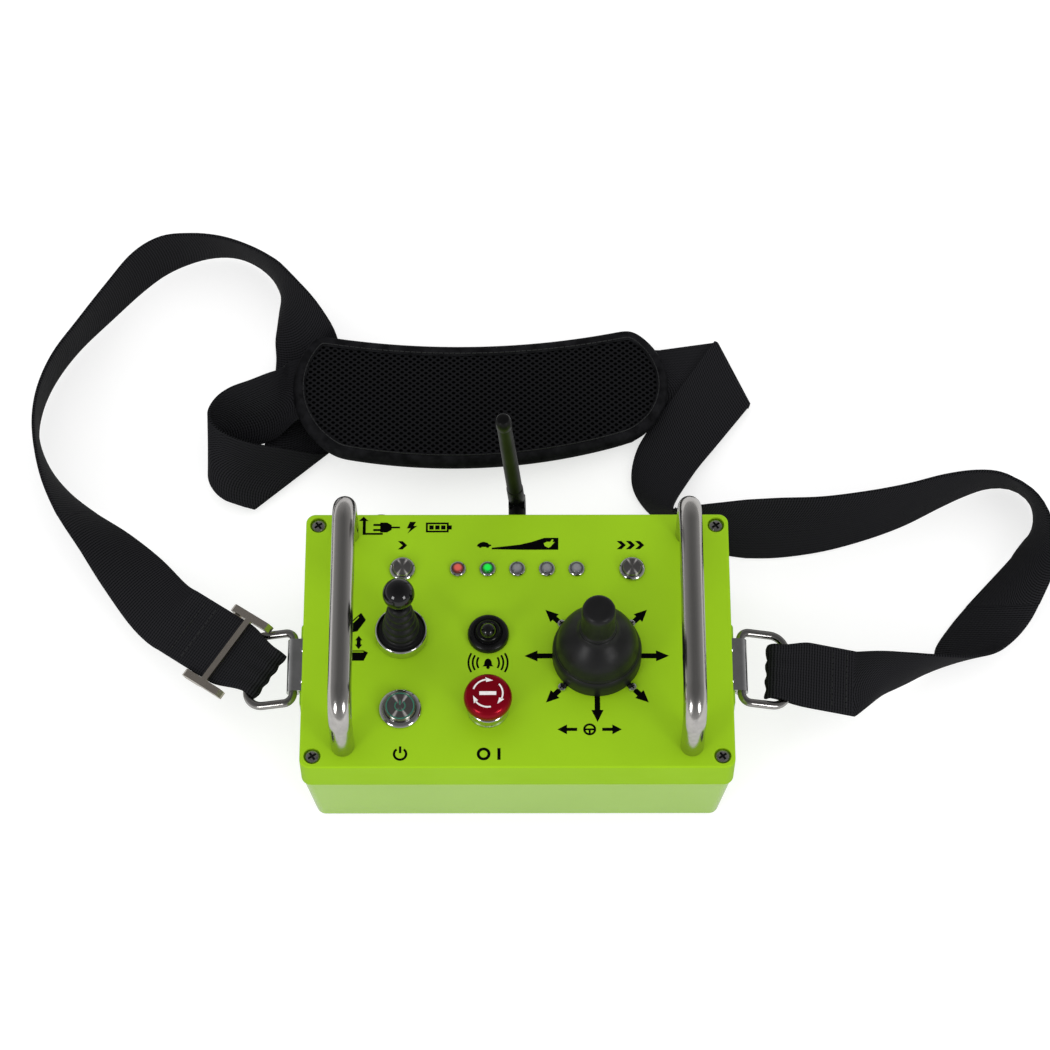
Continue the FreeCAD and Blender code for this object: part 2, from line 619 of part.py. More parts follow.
def alarm_toggle():
    """Toggle switch: dished bezel with a bush, body, and a ball-ended lever at its front stop."""
    x, y = MIDDLE_COLUMN, LEVER_ROW
    neck_end = TOP - ALARM_NECK_DEPTH
    rim, bush = TOP + ALARM_BEZEL_HEIGHT, TOP + ALARM_BUSH_HEIGHT
    pivot = Vector(x, y, TOP + ALARM_PIVOT_HEIGHT)
    pin_half = Vector(ALARM_PIN_HALF, 0, 0)
    end_room = Vector(HOLE_CLEARANCE, 0, 0)
    bezel = turned(x, y, [
        (ALARM_BORE_R, neck_end), (ALARM_NECK_R, neck_end), (ALARM_NECK_R, TOP), (ALARM_BEZEL_R, TOP),
        (ALARM_BEZEL_R, rim - ALARM_EDGE), (ALARM_BEZEL_R - ALARM_EDGE / 3, rim - ALARM_EDGE / 4),
        (ALARM_BEZEL_R - ALARM_EDGE, rim), (ALARM_BUSH_R + ALARM_DISH, rim - ALARM_DISH),
        (ALARM_BUSH_R, rim), (ALARM_BUSH_R, bush - ALARM_DISH), (ALARM_BUSH_R - ALARM_DISH, bush),
        (ALARM_BORE_R, bush)])
    pin_hole = bar(pivot - pin_half - end_room, pivot + pin_half + end_room, ALARM_PIN_R + RUNNING_CLEARANCE)
    save("alarm_bezel", bezel.cut(pin_hole))
    save("alarm_body", block(x, y, neck_end - ALARM_BODY_HEIGHT, neck_end, ALARM_BODY_X, ALARM_BODY_Y))
    tip = pivot.z + ALARM_LENGTH
    lever = Part.makeSphere(ALARM_BALL_R, pivot).fuse(bar(pivot - pin_half, pivot + pin_half, ALARM_PIN_R))
    lever = lever.fuse(cylinder(x, y, pivot.z - ALARM_TAIL, pivot.z, ALARM_TAIL_R))
    lever = lever.fuse(Part.makeCone(ALARM_SHANK_R, ALARM_SHANK_TOP_R, ALARM_LENGTH, pivot))
    lever = lever.fuse(Part.makeSphere(ALARM_TIP_R, Vector(x, y, tip)))
    lever.rotate(pivot, Vector(1, 0, 0), ALARM_LEAN)
    save("alarm_lever", lever.removeSplitter())


def steering_screw_places():
    """Square of mounting screws round the joystick."""
    half = STEERING_SCREW_SPACING / 2
    return [(STEERING_X + dx, STEERING_Y + dy) for dx, dy in corners(half, half)]


def steering_joystick():
    """Two-axis joystick: collar, dome boot, knob, stick, gimbal yoke, housing and angle sensors."""
    x, y = STEERING_X, STEERING_Y
    rim = TOP + COLLAR_HEIGHT
    inner = COLLAR_R - COLLAR_WALL
    save("steering_collar", turned(x, y, [(inner, TOP), (COLLAR_R, TOP), (COLLAR_R, rim - COLLAR_EDGE),
                                          (COLLAR_R - COLLAR_EDGE, rim), (inner, rim)]))
    save("steering_dome", dome(x, y, rim))
    neck = rim + DOME_HEIGHT
    crown = neck + KNOB_HEIGHT
    knob = cylinder(x, y, neck, crown, KNOB_R)
    top_edge = [edge for edge in knob.Edges if edge.BoundBox.ZMin > crown - TOUCH]
    knob = knob.makeFillet(KNOB_ROUND, top_edge)
    spigot_end = crown - KNOB_ROUND - KNOB_ROOF
    save("steering_knob", knob.cut(cylinder(x, y, neck, spigot_end, STICK_SPIGOT_R + SEAT_CLEARANCE)))
    pivot = Vector(x, y, TOP - STICK_PIVOT_DEPTH)
    half = YOKE_SIZE / 2
    across = Vector(0, half, 0)
    stick = cylinder(x, y, pivot.z, neck, STICK_R)
    stick = stick.fuse(cylinder(x, y, neck, spigot_end - SPIGOT_ROOM, STICK_SPIGOT_R))
    hub = Part.makeSphere(STICK_HUB_R, pivot).fuse(bar(pivot - across, pivot + across, TRUNNION_R))
    save("steering_shaft", stick.fuse(hub).removeSplitter())
    level = YOKE_HEIGHT / 2
    yoke = block(x, y, pivot.z - level, pivot.z + level, YOKE_SIZE, YOKE_SIZE)
    opening = YOKE_SIZE - 2 * YOKE_WALL
    yoke = yoke.cut(block(x, y, pivot.z - level, pivot.z + level, opening, opening))
    wall_out = GIMBAL_SIZE / 2
    for side in (-1, 1):
        start = pivot + Vector(side * (half - YOKE_WALL / 2), 0, 0)
        yoke = yoke.fuse(bar(start, pivot + Vector(side * (wall_out - HOLE_CLEARANCE), 0, 0), TRUNNION_R))
    yoke = yoke.cut(bar(pivot - across, pivot + across, TRUNNION_R + RUNNING_CLEARANCE))
    save("steering_yoke", yoke.removeSplitter())
    save("steering_sensor_y", bar(pivot + across, pivot + across + Vector(0, SENSOR_LENGTH, 0), SENSOR_R))
    face = pivot + Vector(wall_out, 0, 0)
    save("steering_sensor_x", bar(face, face + Vector(SENSOR_LENGTH, 0, 0), SENSOR_R))
    low, high = UNDER_LID - GIMBAL_DEPTH, UNDER_LID
    hollow = GIMBAL_SIZE - 2 * GIMBAL_WALL
    housing = block(x, y, low, high, GIMBAL_SIZE, GIMBAL_SIZE)
    housing = housing.cut(block(x, y, low + GIMBAL_WALL, high - GIMBAL_FLANGE, hollow, hollow))
    housing = housing.cut(cylinder(x, y, high - GIMBAL_FLANGE, high, STEERING_HOLE_R))
    reach = Vector(wall_out, 0, 0)
    housing = housing.cut(bar(pivot - reach, pivot + reach, TRUNNION_R + RUNNING_CLEARANCE))
    for sx, sy in steering_screw_places():
        tap = cylinder(sx, sy, high - GIMBAL_FLANGE, high, STEERING_SCREW_R + SEAT_CLEARANCE)
        housing = housing.cut(tap)
    save("steering_body", housing)
    head = [(0, high - GIMBAL_FLANGE), (STEERING_SCREW_R, high - GIMBAL_FLANGE), (STEERING_SCREW_R, TOP),
            (STEERING_HEAD_R, TOP), (STEERING_HEAD_R, TOP + STEERING_HEAD / 2),
            (STEERING_HEAD_R * HEAD_CROWN, TOP + STEERING_HEAD), (0, TOP + STEERING_HEAD)]
    save("steering_screws", [turned(sx, sy, head) for sx, sy in steering_screw_places()])


def dome(x, y, low):
    """Rubber dome between the collar and the stick, as a bell-shaped shell."""
    shoulder = DOME_HEIGHT * DOME_SHOULDER
    turns = [math.radians(turn) for turn in DOME_TURNS]
    outer = [(DOME_R * math.cos(turn), low + shoulder * math.sin(turn)) for turn in turns]
    outer += [(KNOB_R, low + shoulder), (KNOB_R, low + DOME_HEIGHT - SOFT_CLEARANCE)]
    gap = STICK_R + SOFT_CLEARANCE
    inner = [(max(radius - DOME_WALL, gap), height - DOME_WALL) for radius, height in outer[1:-1]]
    inner = [(gap, outer[-1][1]), (gap, inner[-1][1])] + inner[::-1] + [(DOME_R - DOME_WALL, low)]
    return turned(x, y, outer + inner)


def button(name, x, y, flange_r, flange, neck_r, neck_depth, cap_r, rise, travel):
    """Panel button body with its bore; returns the cap, which slides in that bore."""
    rim = TOP + flange
    bore = cap_r + RUNNING_CLEARANCE
    floor = rim + rise - CAP_LENGTH - travel - 2 * HOLE_CLEARANCE
    bevel = flange * FLANGE_BEVEL
    save(name + "_body", turned(x, y, [(0, TOP - neck_depth), (neck_r, TOP - neck_depth), (neck_r, TOP),
                                       (flange_r, TOP), (flange_r, rim - bevel), (flange_r - bevel, rim),
                                       (bore, rim), (bore, floor), (0, floor)]))
    crown = rim + rise
    return turned(x, y, [(0, crown - CAP_LENGTH), (cap_r, crown - CAP_LENGTH), (cap_r, crown - CAP_EDGE),
                         (cap_r - CAP_EDGE, crown), (0, crown)])


def push_buttons():
    """Two speed buttons and the lit power button."""
    for name, x in (("slow_button", LEFT_COLUMN), ("fast_button", FAST_X)):
        save(name + "_cap", button(name, x, LAMP_ROW, SPEED_FLANGE_R, SPEED_FLANGE, SPEED_NECK_R,
                                   SPEED_NECK_DEPTH, SPEED_CAP_R, SPEED_CAP_RISE, SPEED_TRAVEL))
    x, y = LEFT_COLUMN, BUTTON_ROW
    cap = button("power_button", x, y, POWER_FLANGE_R, POWER_FLANGE, POWER_NECK_R, POWER_NECK_DEPTH,
                 POWER_CAP_R, POWER_CAP_RISE, POWER_TRAVEL)
    crown = TOP + POWER_FLANGE + POWER_CAP_RISE
    low = crown - POWER_RING_DEPTH
    ring = cylinder(x, y, low, crown, POWER_RING_R)
    ring = ring.cut(cylinder(x, y, low, crown, POWER_RING_R - POWER_RING_WIDTH))
    save("power_button_ring", ring)
    save("power_button_cap", cap.cut(ring))


def stop_button():
    """Twist-to-release stop button: collar with neck, stem, mushroom head and contact block."""
    x, y = MIDDLE_COLUMN, BUTTON_ROW
    neck_end, rim, lip = TOP - STOP_NECK_DEPTH, TOP + STOP_FLANGE, TOP + STOP_SKIRT
    bore = STOP_STEM_R + RUNNING_CLEARANCE
    save("stop_collar", turned(x, y, [(bore, neck_end), (STOP_NECK_R, neck_end), (STOP_NECK_R, TOP),
                                      (STOP_FLANGE_R, TOP), (STOP_FLANGE_R, rim - STOP_FLANGE_EDGE),
                                      (STOP_FLANGE_R - STOP_FLANGE_EDGE, rim), (STOP_SKIRT_R, rim),
                                      (STOP_SKIRT_R, lip - STOP_SKIRT_EDGE),
                                      (STOP_SKIRT_R - STOP_SKIRT_EDGE, lip), (bore, lip)]))
    save("stop_contact_block", block(x, y, neck_end - STOP_BLOCK_HEIGHT, neck_end, STOP_BLOCK, STOP_BLOCK))
    under = TOP + STOP_HEAD_LIFT
    crown = under + STOP_HEAD_HEIGHT
    spigot = under + STOP_SPIGOT
    stem_end = neck_end + STOP_TRAVEL + 2 * HOLE_CLEARANCE
    stem = cylinder(x, y, stem_end, under, STOP_STEM_R)
    save("stop_stem", stem.fuse(cylinder(x, y, under, spigot, STOP_SPIGOT_R)))
    hub = STOP_SPIGOT_R + RUNNING_CLEARANCE
    curve = [(STOP_HEAD_R - inset, under + STOP_HEAD_HEIGHT * share) for inset, share in STOP_HEAD_CURVE]
    roof = spigot + HOLE_CLEARANCE
    save("stop_head", turned(x, y, [(hub, under)] + curve + [(0, crown), (0, roof), (hub, roof)]))


def lamp_places():
    """Centres of the lamp row along X."""
    return [LAMP_PITCH * (index - (LAMP_COUNT - 1) / 2) for index in range(LAMP_COUNT)]


def lamps():
    """Row of indicator lamps: bezels and domed lenses by colour."""
    low, rim = TOP - LAMP_NECK_DEPTH, TOP + LAMP_BEZEL
    bore = LAMP_LENS_R + SEAT_CLEARANCE
    bezel = [(bore, low), (LAMP_NECK_R, low), (LAMP_NECK_R, TOP), (LAMP_BEZEL_R, TOP),
             (LAMP_BEZEL_R, rim - LAMP_BEZEL_EDGE), (LAMP_BEZEL_R - LAMP_BEZEL_EDGE, rim), (bore, rim)]
    save("lamp_bezels", [turned(x, LAMP_ROW, bezel) for x in lamp_places()])
    crown = TOP + LAMP_LENS_RISE
    lens = [(0, low), (LAMP_LENS_R, low), (LAMP_LENS_R, rim), (LAMP_LENS_CROWN_R, crown - LAMP_LENS_FALL),
            (0, crown)]
    lenses = [turned(x, LAMP_ROW, lens) for x in lamp_places()]
    save("lamp_lens_red", lenses[0])
    save("lamp_lens_green", lenses[1])
    save("lamp_lenses_clear", lenses[2:])


def panel_nuts():
    """Nuts that clamp the panel controls and the charge socket."""
    nuts = [panel_nut(LEFT_COLUMN, LEVER_ROW, TILT_NECK_R, NUT_WALL),
            panel_nut(MIDDLE_COLUMN, LEVER_ROW, ALARM_NECK_R, NUT_WALL),
            panel_nut(LEFT_COLUMN, LAMP_ROW, SPEED_NECK_R, SMALL_NUT_WALL),
            panel_nut(FAST_X, LAMP_ROW, SPEED_NECK_R, SMALL_NUT_WALL),
            panel_nut(LEFT_COLUMN, BUTTON_ROW, POWER_NECK_R, NUT_WALL),
            panel_nut(MIDDLE_COLUMN, BUTTON_ROW, STOP_NECK_R, NUT_WALL)]
    nuts += [panel_nut(x, LAMP_ROW, LAMP_NECK_R, SMALL_NUT_WALL) for x in lamp_places()]
    charge = hexagon(2 * (CHARGE_BARREL_R + SMALL_NUT_WALL), NUT_HEIGHT)
    charge.rotate(Vector(0, 0, 0), Vector(1, 0, 0), 90)
    charge.translate(Vector(CHARGE_X, REAR - WALL, TOP - CHARGE_DROP))
    start = Vector(CHARGE_X, REAR - WALL - NUT_HEIGHT, TOP - CHARGE_DROP)
    nuts.append(charge.cut(bar(start, start + Vector(0, NUT_HEIGHT, 0), CHARGE_BARREL_R + SEAT_CLEARANCE)))
    return nuts


def charge_socket():
    """Round charge socket with a threaded barrel and a centre contact."""
    centre = Vector(CHARGE_X, REAR, TOP - CHARGE_DROP)
    back = Vector(0, 1, 0)
    end = CHARGE_FLANGE + CHARGE_BARREL
    socket = bar(centre - back * CHARGE_NECK, centre + back * end, CHARGE_BARREL_R)
    socket = socket.fuse(bar(centre, centre + back * CHARGE_FLANGE, CHARGE_FLANGE_R))
    bore = bar(centre, centre + back * end, CHARGE_BORE_R)
    contact = bar(centre, centre + back * (end - CHARGE_PIN_DEPTH), CHARGE_PIN_R)
    return socket.cut(bore.cut(contact)).removeSplitter()


def eye_plate(hinge, run, radius, thickness):
    """Plate with a round end on a hinge along X, running off in one direction."""
    half = Vector(thickness / 2, 0, 0)
    eye = bar(hinge - half, hinge + half, radius)
    across = Vector(1, 0, 0).cross(run).normalize() * radius
    low, high = hinge - half - across, hinge - half + across
    plate = Part.Face(Part.makePolygon([low, high, high + run, low + run, low]))
    return eye.fuse(plate.extrude(half * 2)).removeSplitter()


def antenna():
    """Rear socket, swivelling elbow and folding whip, turned to the antenna's resting lean."""
    z = TOP - ANTENNA_DROP
    root = Vector(ANTENNA_X, REAR, z)
    back = Vector(0, 1, 0)
    flange = hexagon(ANTENNA_HEX, ANTENNA_HEX_LENGTH)
    flange.rotate(Vector(0, 0, 0), Vector(1, 0, 0), -90)
    flange.translate(root)
    barrel_end = ANTENNA_HEX_LENGTH + ANTENNA_BARREL
    socket = flange.fuse(bar(root - back * (2 * WALL), root + back * barrel_end, ANTENNA_BARREL_R))
    save("antenna_socket", socket.removeSplitter())
    start = ANTENNA_HEX_LENGTH + HOLE_CLEARANCE
    bore_end = barrel_end + HOLE_CLEARANCE
    throat = bore_end + ANTENNA_PIN_R
    hinge = root + back * (throat + ANTENNA_EYE_R + SOFT_CLEARANCE)
    cheek_r = ANTENNA_ELBOW_R - SOFT_CLEARANCE
    elbow = bar(root + back * start, root + back * throat, ANTENNA_ELBOW_R)
    inward = root + back * (throat - ANTENNA_PIN_R) - hinge
    elbow = elbow.fuse(eye_plate(hinge, inward, cheek_r, 2 * cheek_r))
    elbow = elbow.cut(bar(root, root + back * bore_end, ANTENNA_BARREL_R + RUNNING_CLEARANCE))
    slot = ANTENNA_TONGUE + 2 * HOLE_CLEARANCE
    reach = 2 * ANTENNA_ELBOW_R
    low = Vector(ANTENNA_X - slot / 2, REAR + throat, z - reach)
    side = Vector(cheek_r, 0, 0)
    elbow = elbow.cut(Part.makeBox(slot, 2 * reach, 2 * reach, low))
    elbow = elbow.fuse(bar(hinge - side, hinge + side, ANTENNA_PIN_R))
    foot = z + ANTENNA_ELBOW_R + SOFT_CLEARANCE
    tip = z + ANTENNA_LENGTH
    sleeve, cap = foot + ANTENNA_SLEEVE, tip - ANTENNA_CAP
    cap_r = ANTENNA_TIP_R + ANTENNA_STEP
    whip = turned(ANTENNA_X, hinge.y, [(0, foot), (ANTENNA_WHIP_R, foot), (ANTENNA_WHIP_R, sleeve),
                                       (ANTENNA_WHIP_R - ANTENNA_STEP, sleeve + ANTENNA_STEP),
                                       (ANTENNA_TIP_R, cap), (cap_r, cap + ANTENNA_STEP),
                                       (cap_r, tip - ANTENNA_CAP_EDGE), (cap_r - ANTENNA_CAP_EDGE, tip),
                                       (0, tip)])
    tongue = eye_plate(hinge, Vector(0, 0, foot - z + ANTENNA_PIN_R), ANTENNA_EYE_R, ANTENNA_TONGUE)
    whip = whip.fuse(tongue).cut(bar(hinge - side, hinge + side, ANTENNA_PIN_R + RUNNING_CLEARANCE))
    for name, piece in (("antenna_elbow", elbow), ("antenna_whip", whip)):
        piece = piece.removeSplitter()
        piece.rotate(root, back, -ANTENNA_LEAN)
        save(name, piece)


def bracket_screw_places():
    """Two screws on each strap ledge, in line with the lid's edge."""
    x = BOX_LENGTH / 2 + BRACKET_SCREW_OUT
    return corners(x, BRACKET_SCREW_PITCH / 2)


def strap_bracket(side):
    """Sheet bracket on one ledge with a rolled knuckle round the ring's bar."""
    slope = BASE_DRAFT * (1 - (PAD_TOP + BRACKET_SHEET) / BASE_HEIGHT)
    inner = BOX_LENGTH / 2 - BASE_STEP - slope + HOLE_CLEARANCE
    low = Vector(inner, -BRACKET_WIDTH / 2, PAD_TOP)
    sheet = Part.makeBox(RING_X - inner, BRACKET_WIDTH, BRACKET_SHEET, low)
    across = Vector(0, BRACKET_WIDTH / 2, 0)
    axis = Vector(RING_X, 0, RING_Z)
    knuckle = bar(axis - across, axis + across, KNUCKLE_R)
    piece = sheet.fuse(knuckle).cut(bar(axis - across, axis + across, KNUCKLE_R - BRACKET_SHEET))
    for x, y in bracket_screw_places():
        hole = cylinder(abs(x), y, PAD_TOP, PAD_TOP + BRACKET_SHEET, BRACKET_SCREW_R + HOLE_CLEARANCE)
        piece = piece.cut(hole)
    piece = piece.removeSplitter()
    return piece if side > 0 else piece.mirror(Vector(0, 0, 0), Vector(1, 0, 0))


def bracket_screws():
    """Screws that hold the brackets to the ledges."""
    seat = PAD_TOP + BRACKET_SHEET
    crown = seat + BRACKET_SCREW_HEAD
    low = PAD_TOP - BRACKET_SCREW_LENGTH + HOLE_CLEARANCE
    profile = [(0, low), (BRACKET_SCREW_R, low), (BRACKET_SCREW_R, seat), (BRACKET_SCREW_HEAD_R, seat),
               (BRACKET_SCREW_HEAD_R * HEAD_CROWN, crown), (0, crown)]
    return [turned(x, y, profile) for x, y in bracket_screw_places()]


def strap_ring(side):
    """Wire ring hinged in the bracket's knuckle, drooping towards the table."""
    half = RING_WIDTH / 2
    near, far = RING_BAR_CORNER, RING_OUTER_CORNER
    wire = bent_wire([Vector(0, -half, 0), Vector(0, half, 0), Vector(RING_DEPTH, half, 0),
                      Vector(RING_DEPTH, -half, 0)], [near, near, far, far], True)
    ring = round_bar(wire, RING_WIRE_R, Vector(near, -half, 0), Vector(1, 0, 0))
    ring.rotate(Vector(0, 0, 0), Vector(0, 1, 0), RING_DROOP)
    ring.translate(Vector(RING_X, 0, RING_Z))
    return ring if side > 0 else ring.mirror(Vector(0, 0, 0), Vector(1, 0, 0))


def loop_frame(side, y, heading):
    """Matrix of a webbing loop in its ring's plane: origin on the outer wire, x along the webbing."""
    droop, turn = math.radians(RING_DROOP), math.radians(heading)
    outward = Vector(side * math.cos(droop), 0, -math.sin(droop))
    wire = Vector(side * RING_X, y, RING_Z) + outward * RING_DEPTH
    along = outward * math.cos(turn) + Vector(0, math.sin(turn), 0)
    up = Vector(side * math.sin(droop), 0, math.cos(droop))
    left = up.cross(along)
    return Matrix(along.x, left.x, up.x, wire.x, along.y, left.y, up.y, wire.y,
                  along.z, left.z, up.z, wire.z, 0, 0, 0, 1)


def layer_height():
    """Middle of the webbing's upper layer above the ring's wire."""
    return RING_WIRE_R + SOFT_CLEARANCE + WEBBING_THICKNESS / 2


def webbing_loop(matrix, reach, tail):
    """Webbing folded round the ring's wire: gathered fold, long upper layer and sewn lower layer."""
    gap = RING_WIRE_R + SOFT_CLEARANCE
    outer = gap + WEBBING_THICKNESS
    ends = Vector(-LOOP_BACK, -GATHERED / 2, 0), Vector(-LOOP_BACK, GATHERED / 2, 0)
    behind = Part.makeBox(outer, GATHERED, 2 * outer, ends[0] - Vector(outer, 0, outer))
    loop = bar(*ends, outer).cut(bar(*ends, gap)).common(behind)
    for low, end in ((gap, reach), (-outer, tail)):
        points = [Vector(-LOOP_BACK, -GATHERED / 2, low), Vector(LOOP_BACK, -WEBBING / 2, low),
                  Vector(end, -WEBBING / 2, low), Vector(end, WEBBING / 2, low),
                  Vector(LOOP_BACK, WEBBING / 2, low), Vector(-LOOP_BACK, GATHERED / 2, low)]
        face = Part.Face(Part.makePolygon(points + points[:1]))
        loop = loop.fuse(face.extrude(Vector(0, 0, WEBBING_THICKNESS)))
    return loop.removeSplitter().transformGeometry(matrix)


def slider(matrix):
    """Three-bar slider: middle bar over the webbing, end bar under it, side rails outside it."""
    gap = RING_WIRE_R + SOFT_CLEARANCE
    over = gap + WEBBING_THICKNESS + SOFT_CLEARANCE
    under = gap - SOFT_CLEARANCE - SLIDER_BAR
    top = over + SLIDER_BAR
    edge = WEBBING / 2 + 2 * SOFT_CLEARANCE
    start, end = SLIDER_PLACE - SLIDER_LENGTH / 2, SLIDER_PLACE + SLIDER_LENGTH / 2
    bar_end = end - SLIDER_BAR
    side = [(start, gap), (start, over), (start + SLIDER_BAR, top), (bar_end, top), (end, over),
            (end, under), (bar_end - 2 * SLIDER_BAR_WIDTH, under), (SLIDER_PLACE, gap)]
    frame = None
    for place in (-edge - SLIDER_RAIL, edge):
        points = [Vector(along, place, height) for along, height in side]
        rail = Part.Face(Part.makePolygon(points + points[:1])).extrude(Vector(0, SLIDER_RAIL, 0))
        frame = rail if frame is None else frame.fuse(rail)
    span = 2 * edge + SLIDER_RAIL
    for place, low in ((SLIDER_PLACE, over), (bar_end - SLIDER_BAR_WIDTH / 2, under)):
        corner = Vector(place - SLIDER_BAR_WIDTH / 2, -span / 2, low)
        frame = frame.fuse(Part.makeBox(SLIDER_BAR_WIDTH, span, SLIDER_BAR, corner))
    return frame.removeSplitter().transformGeometry(matrix)


def heading(stations, index):
    """Direction of a run of stations at one of them."""
    before, after = stations[max(index - 1, 0)][0], stations[min(index + 1, len(stations) - 1)][0]
    return (after - before).normalize()


def leaning(stations):
    """Half width of the webbing at each (point, lean) station."""
    made = []
    for index, (point, lean) in enumerate(stations):
        along = heading(stations, index)
        left = Vector(0, 0, 1).cross(along).normalize()
        turn = math.radians(lean)
        made.append((point, (left * math.cos(turn) + along.cross(left) * math.sin(turn)) * (WEBBING / 2)))
    return made


def between_edges(pairs):
    """Half width of the webbing between pairs of points on its two edges."""
    return [((Vector(*low) + Vector(*high)) / 2, (Vector(*high) - Vector(*low)) / 2) for low, high in pairs]


def ribbon(stations):
    """Webbing as a ruled loft of flat sections through (point, half width) stations."""
    sections = []
    for index, (point, half) in enumerate(stations):
        face = heading(stations, index).cross(half).normalize() * (WEBBING_THICKNESS / 2)
        corner = [point + half + face, point - half + face, point - half - face, point + half - face]
        sections.append(Part.makePolygon(corner + corner[:1]))
    return Part.makeLoft(sections, True, True)


def route(points):
    """Stations from plain (x, y, z, lean) numbers."""
    return [(Vector(x, y, z), lean) for x, y, z, lean in points]


def loop_lead(matrix, reach, arriving):
    """Two stations that carry a loop's upper layer on, a small gap past its end."""
    wire, along, left = (matrix.multVec(Vector(*place)) for place in ((0, 0, 0), (1, 0, 0), (0, 1, 0)))
    along, left = along - wire, left - wire
    level = Vector(0, 0, 1).cross(along).normalize()
    lean = math.degrees(math.atan2(left.dot(along.cross(level)), left.dot(level)))
    lean = 180 - lean if arriving else lean
    height = layer_height()
    return [(matrix.multVec(Vector(reach + LOOP_GAP + step, 0, height)), lean) for step in (0, LOOP_LEAD)]


def pad_underside(x):
    """Height of the tilted neck pad's lower face."""
    share = (x - PAD_LEFT[0]) / (PAD_RIGHT[0] - PAD_LEFT[0])
    return PAD_LEFT_LIFT + (PAD_RIGHT_LIFT - PAD_LEFT_LIFT) * share


def pad_fall():
    """Downward slope of the neck pad towards the right, as an angle."""
    return math.atan2(PAD_LEFT_LIFT - PAD_RIGHT_LIFT, PAD_RIGHT[0] - PAD_LEFT[0])


def pad_stations():
    """Webbing flat against the underside of the neck pad."""
    drop = SOFT_CLEARANCE + WEBBING_THICKNESS / 2
    points = [Vector(x, y, pad_underside(x) - drop) for x, y in PAD_ROUTE]
    stations = []
    for index, point in enumerate(points):
        run = points[min(index + 1, len(points) - 1)] - points[max(index - 1, 0)]
        rise = math.sin(pad_fall()) * run.y / math.hypot(run.x, run.y)
        stations.append((point, math.degrees(math.asin(rise))))
    return stations


def fold_layer(start, toward):
    """Flat layer of webbing from a square end to the slanted fold line."""
    along = Vector(toward.x, toward.y, 0).normalize()
    left = Vector(-along.y, along.x, 0) * (WEBBING / 2)
    low = Vector(0, 0, start.z - WEBBING_THICKNESS / 2)
    foot = Vector(start.x, start.y, 0)
    outline = [foot + left, foot - left, Vector(*FOLD_FRONT, 0), Vector(*FOLD_REAR, 0)]
    corner = [low + place for place in outline]
    return Part.Face(Part.makePolygon(corner + corner[:1])).extrude(Vector(0, 0, WEBBING_THICKNESS))


def strap_fold():
    """Webbing folded flat over itself along a slanted line beside the pad."""
    before, last = (point for point, lean in pad_stations()[-2:])
    onward = Vector(last.x - before.x, last.y - before.y, 0).normalize()
    under = last + onward * LOOP_GAP
    over, after = (point for point, lean in route(RIGHT_ROUTE[:2]))
    layers = fold_layer(under, onward).fuse(fold_layer(over, over - after))
    middle = Vector(0, 0, (under.z + over.z) / 2)
    rear, front = Vector(*FOLD_REAR, 0), Vector(*FOLD_FRONT, 0)
    radius = (over.z - under.z + WEBBING_THICKNESS) / 2
    edge = bar(rear + middle, front + middle, radius)
    edge = edge.cut(bar(rear + middle, front + middle, radius - WEBBING_THICKNESS))
    line = front - rear
    outward = Vector(-line.y, line.x, 0).normalize() * WEBBING
    beyond = Part.Face(Part.makePolygon([rear, front, front + outward, rear + outward, rear]))
    return layers.fuse(edge.common(beyond.extrude(middle * 2)))


def neck_pad():
    """Crescent neck pad lying on the webbing, tilted down to the right."""
    def at(place):
        return Vector(*place, 0)
    arcs = [(PAD_TOP_LEFT, PAD_TOP_MIDDLE, PAD_TOP_RIGHT), (PAD_TOP_RIGHT, PAD_RIGHT, PAD_BOTTOM_RIGHT),
            (PAD_BOTTOM_RIGHT, PAD_BOTTOM_MIDDLE, PAD_BOTTOM_LEFT),
            (PAD_BOTTOM_LEFT, PAD_LEFT, PAD_TOP_LEFT)]
    outline = Part.Wire([Part.Arc(at(a), at(b), at(c)).toShape() for a, b, c in arcs])
    pad = Part.Face(outline).extrude(Vector(0, 0, PAD_THICKNESS))
    upright = [e for e in pad.Edges if e.BoundBox.ZLength > PAD_THICKNESS / 2 and e.BoundBox.XLength < TOUCH]
    pad = pad.makeFillet(2 * PAD_ROUND, upright)
    rims = [e for e in pad.Edges if e.BoundBox.ZLength < TOUCH]
    pad = pad.makeFillet(PAD_ROUND, rims)
    pad.rotate(at(PAD_LEFT), Vector(0, 1, 0), math.degrees(pad_fall()))
    pad.translate(Vector(0, 0, PAD_LEFT_LIFT))
    return pad


def strap():
    """Webbing loops on the rings, the slider, the three runs of webbing and the neck pad."""
    left = loop_frame(-1, LEFT_LOOP_Y, LEFT_LOOP_HEADING)
    right = loop_frame(1, RIGHT_LOOP_Y, RIGHT_LOOP_HEADING)
    save("left_strap_loop", webbing_loop(left, LEFT_LOOP_REACH, LEFT_LOOP_REACH / 2))
    save("right_strap_loop", webbing_loop(right, RIGHT_LOOP_REACH, RIGHT_LOOP_REACH / 2))
    save("strap_slider", slider(left))
    under_pad = pad_stations()
    first, second = (point for point, lean in under_pad[:2])
    entry = first + (first - second).normalize() * LOOP_GAP
    run = leaning(loop_lead(left, LEFT_LOOP_REACH, False) + route(LEFT_ROUTE))
    end = leaning([(entry, 0), (first, 0)])[:1]
    save("strap_left", ribbon(run + between_edges(LEFT_TWIST) + end))
    save("strap_pad_run", ribbon(leaning(under_pad)))
    last = loop_lead(right, RIGHT_LOOP_REACH, True)[::-1]
    save("strap_right", strap_fold().fuse(ribbon(leaning(route(RIGHT_ROUTE) + last))).removeSplitter())
    save("neck_pad", neck_pad())


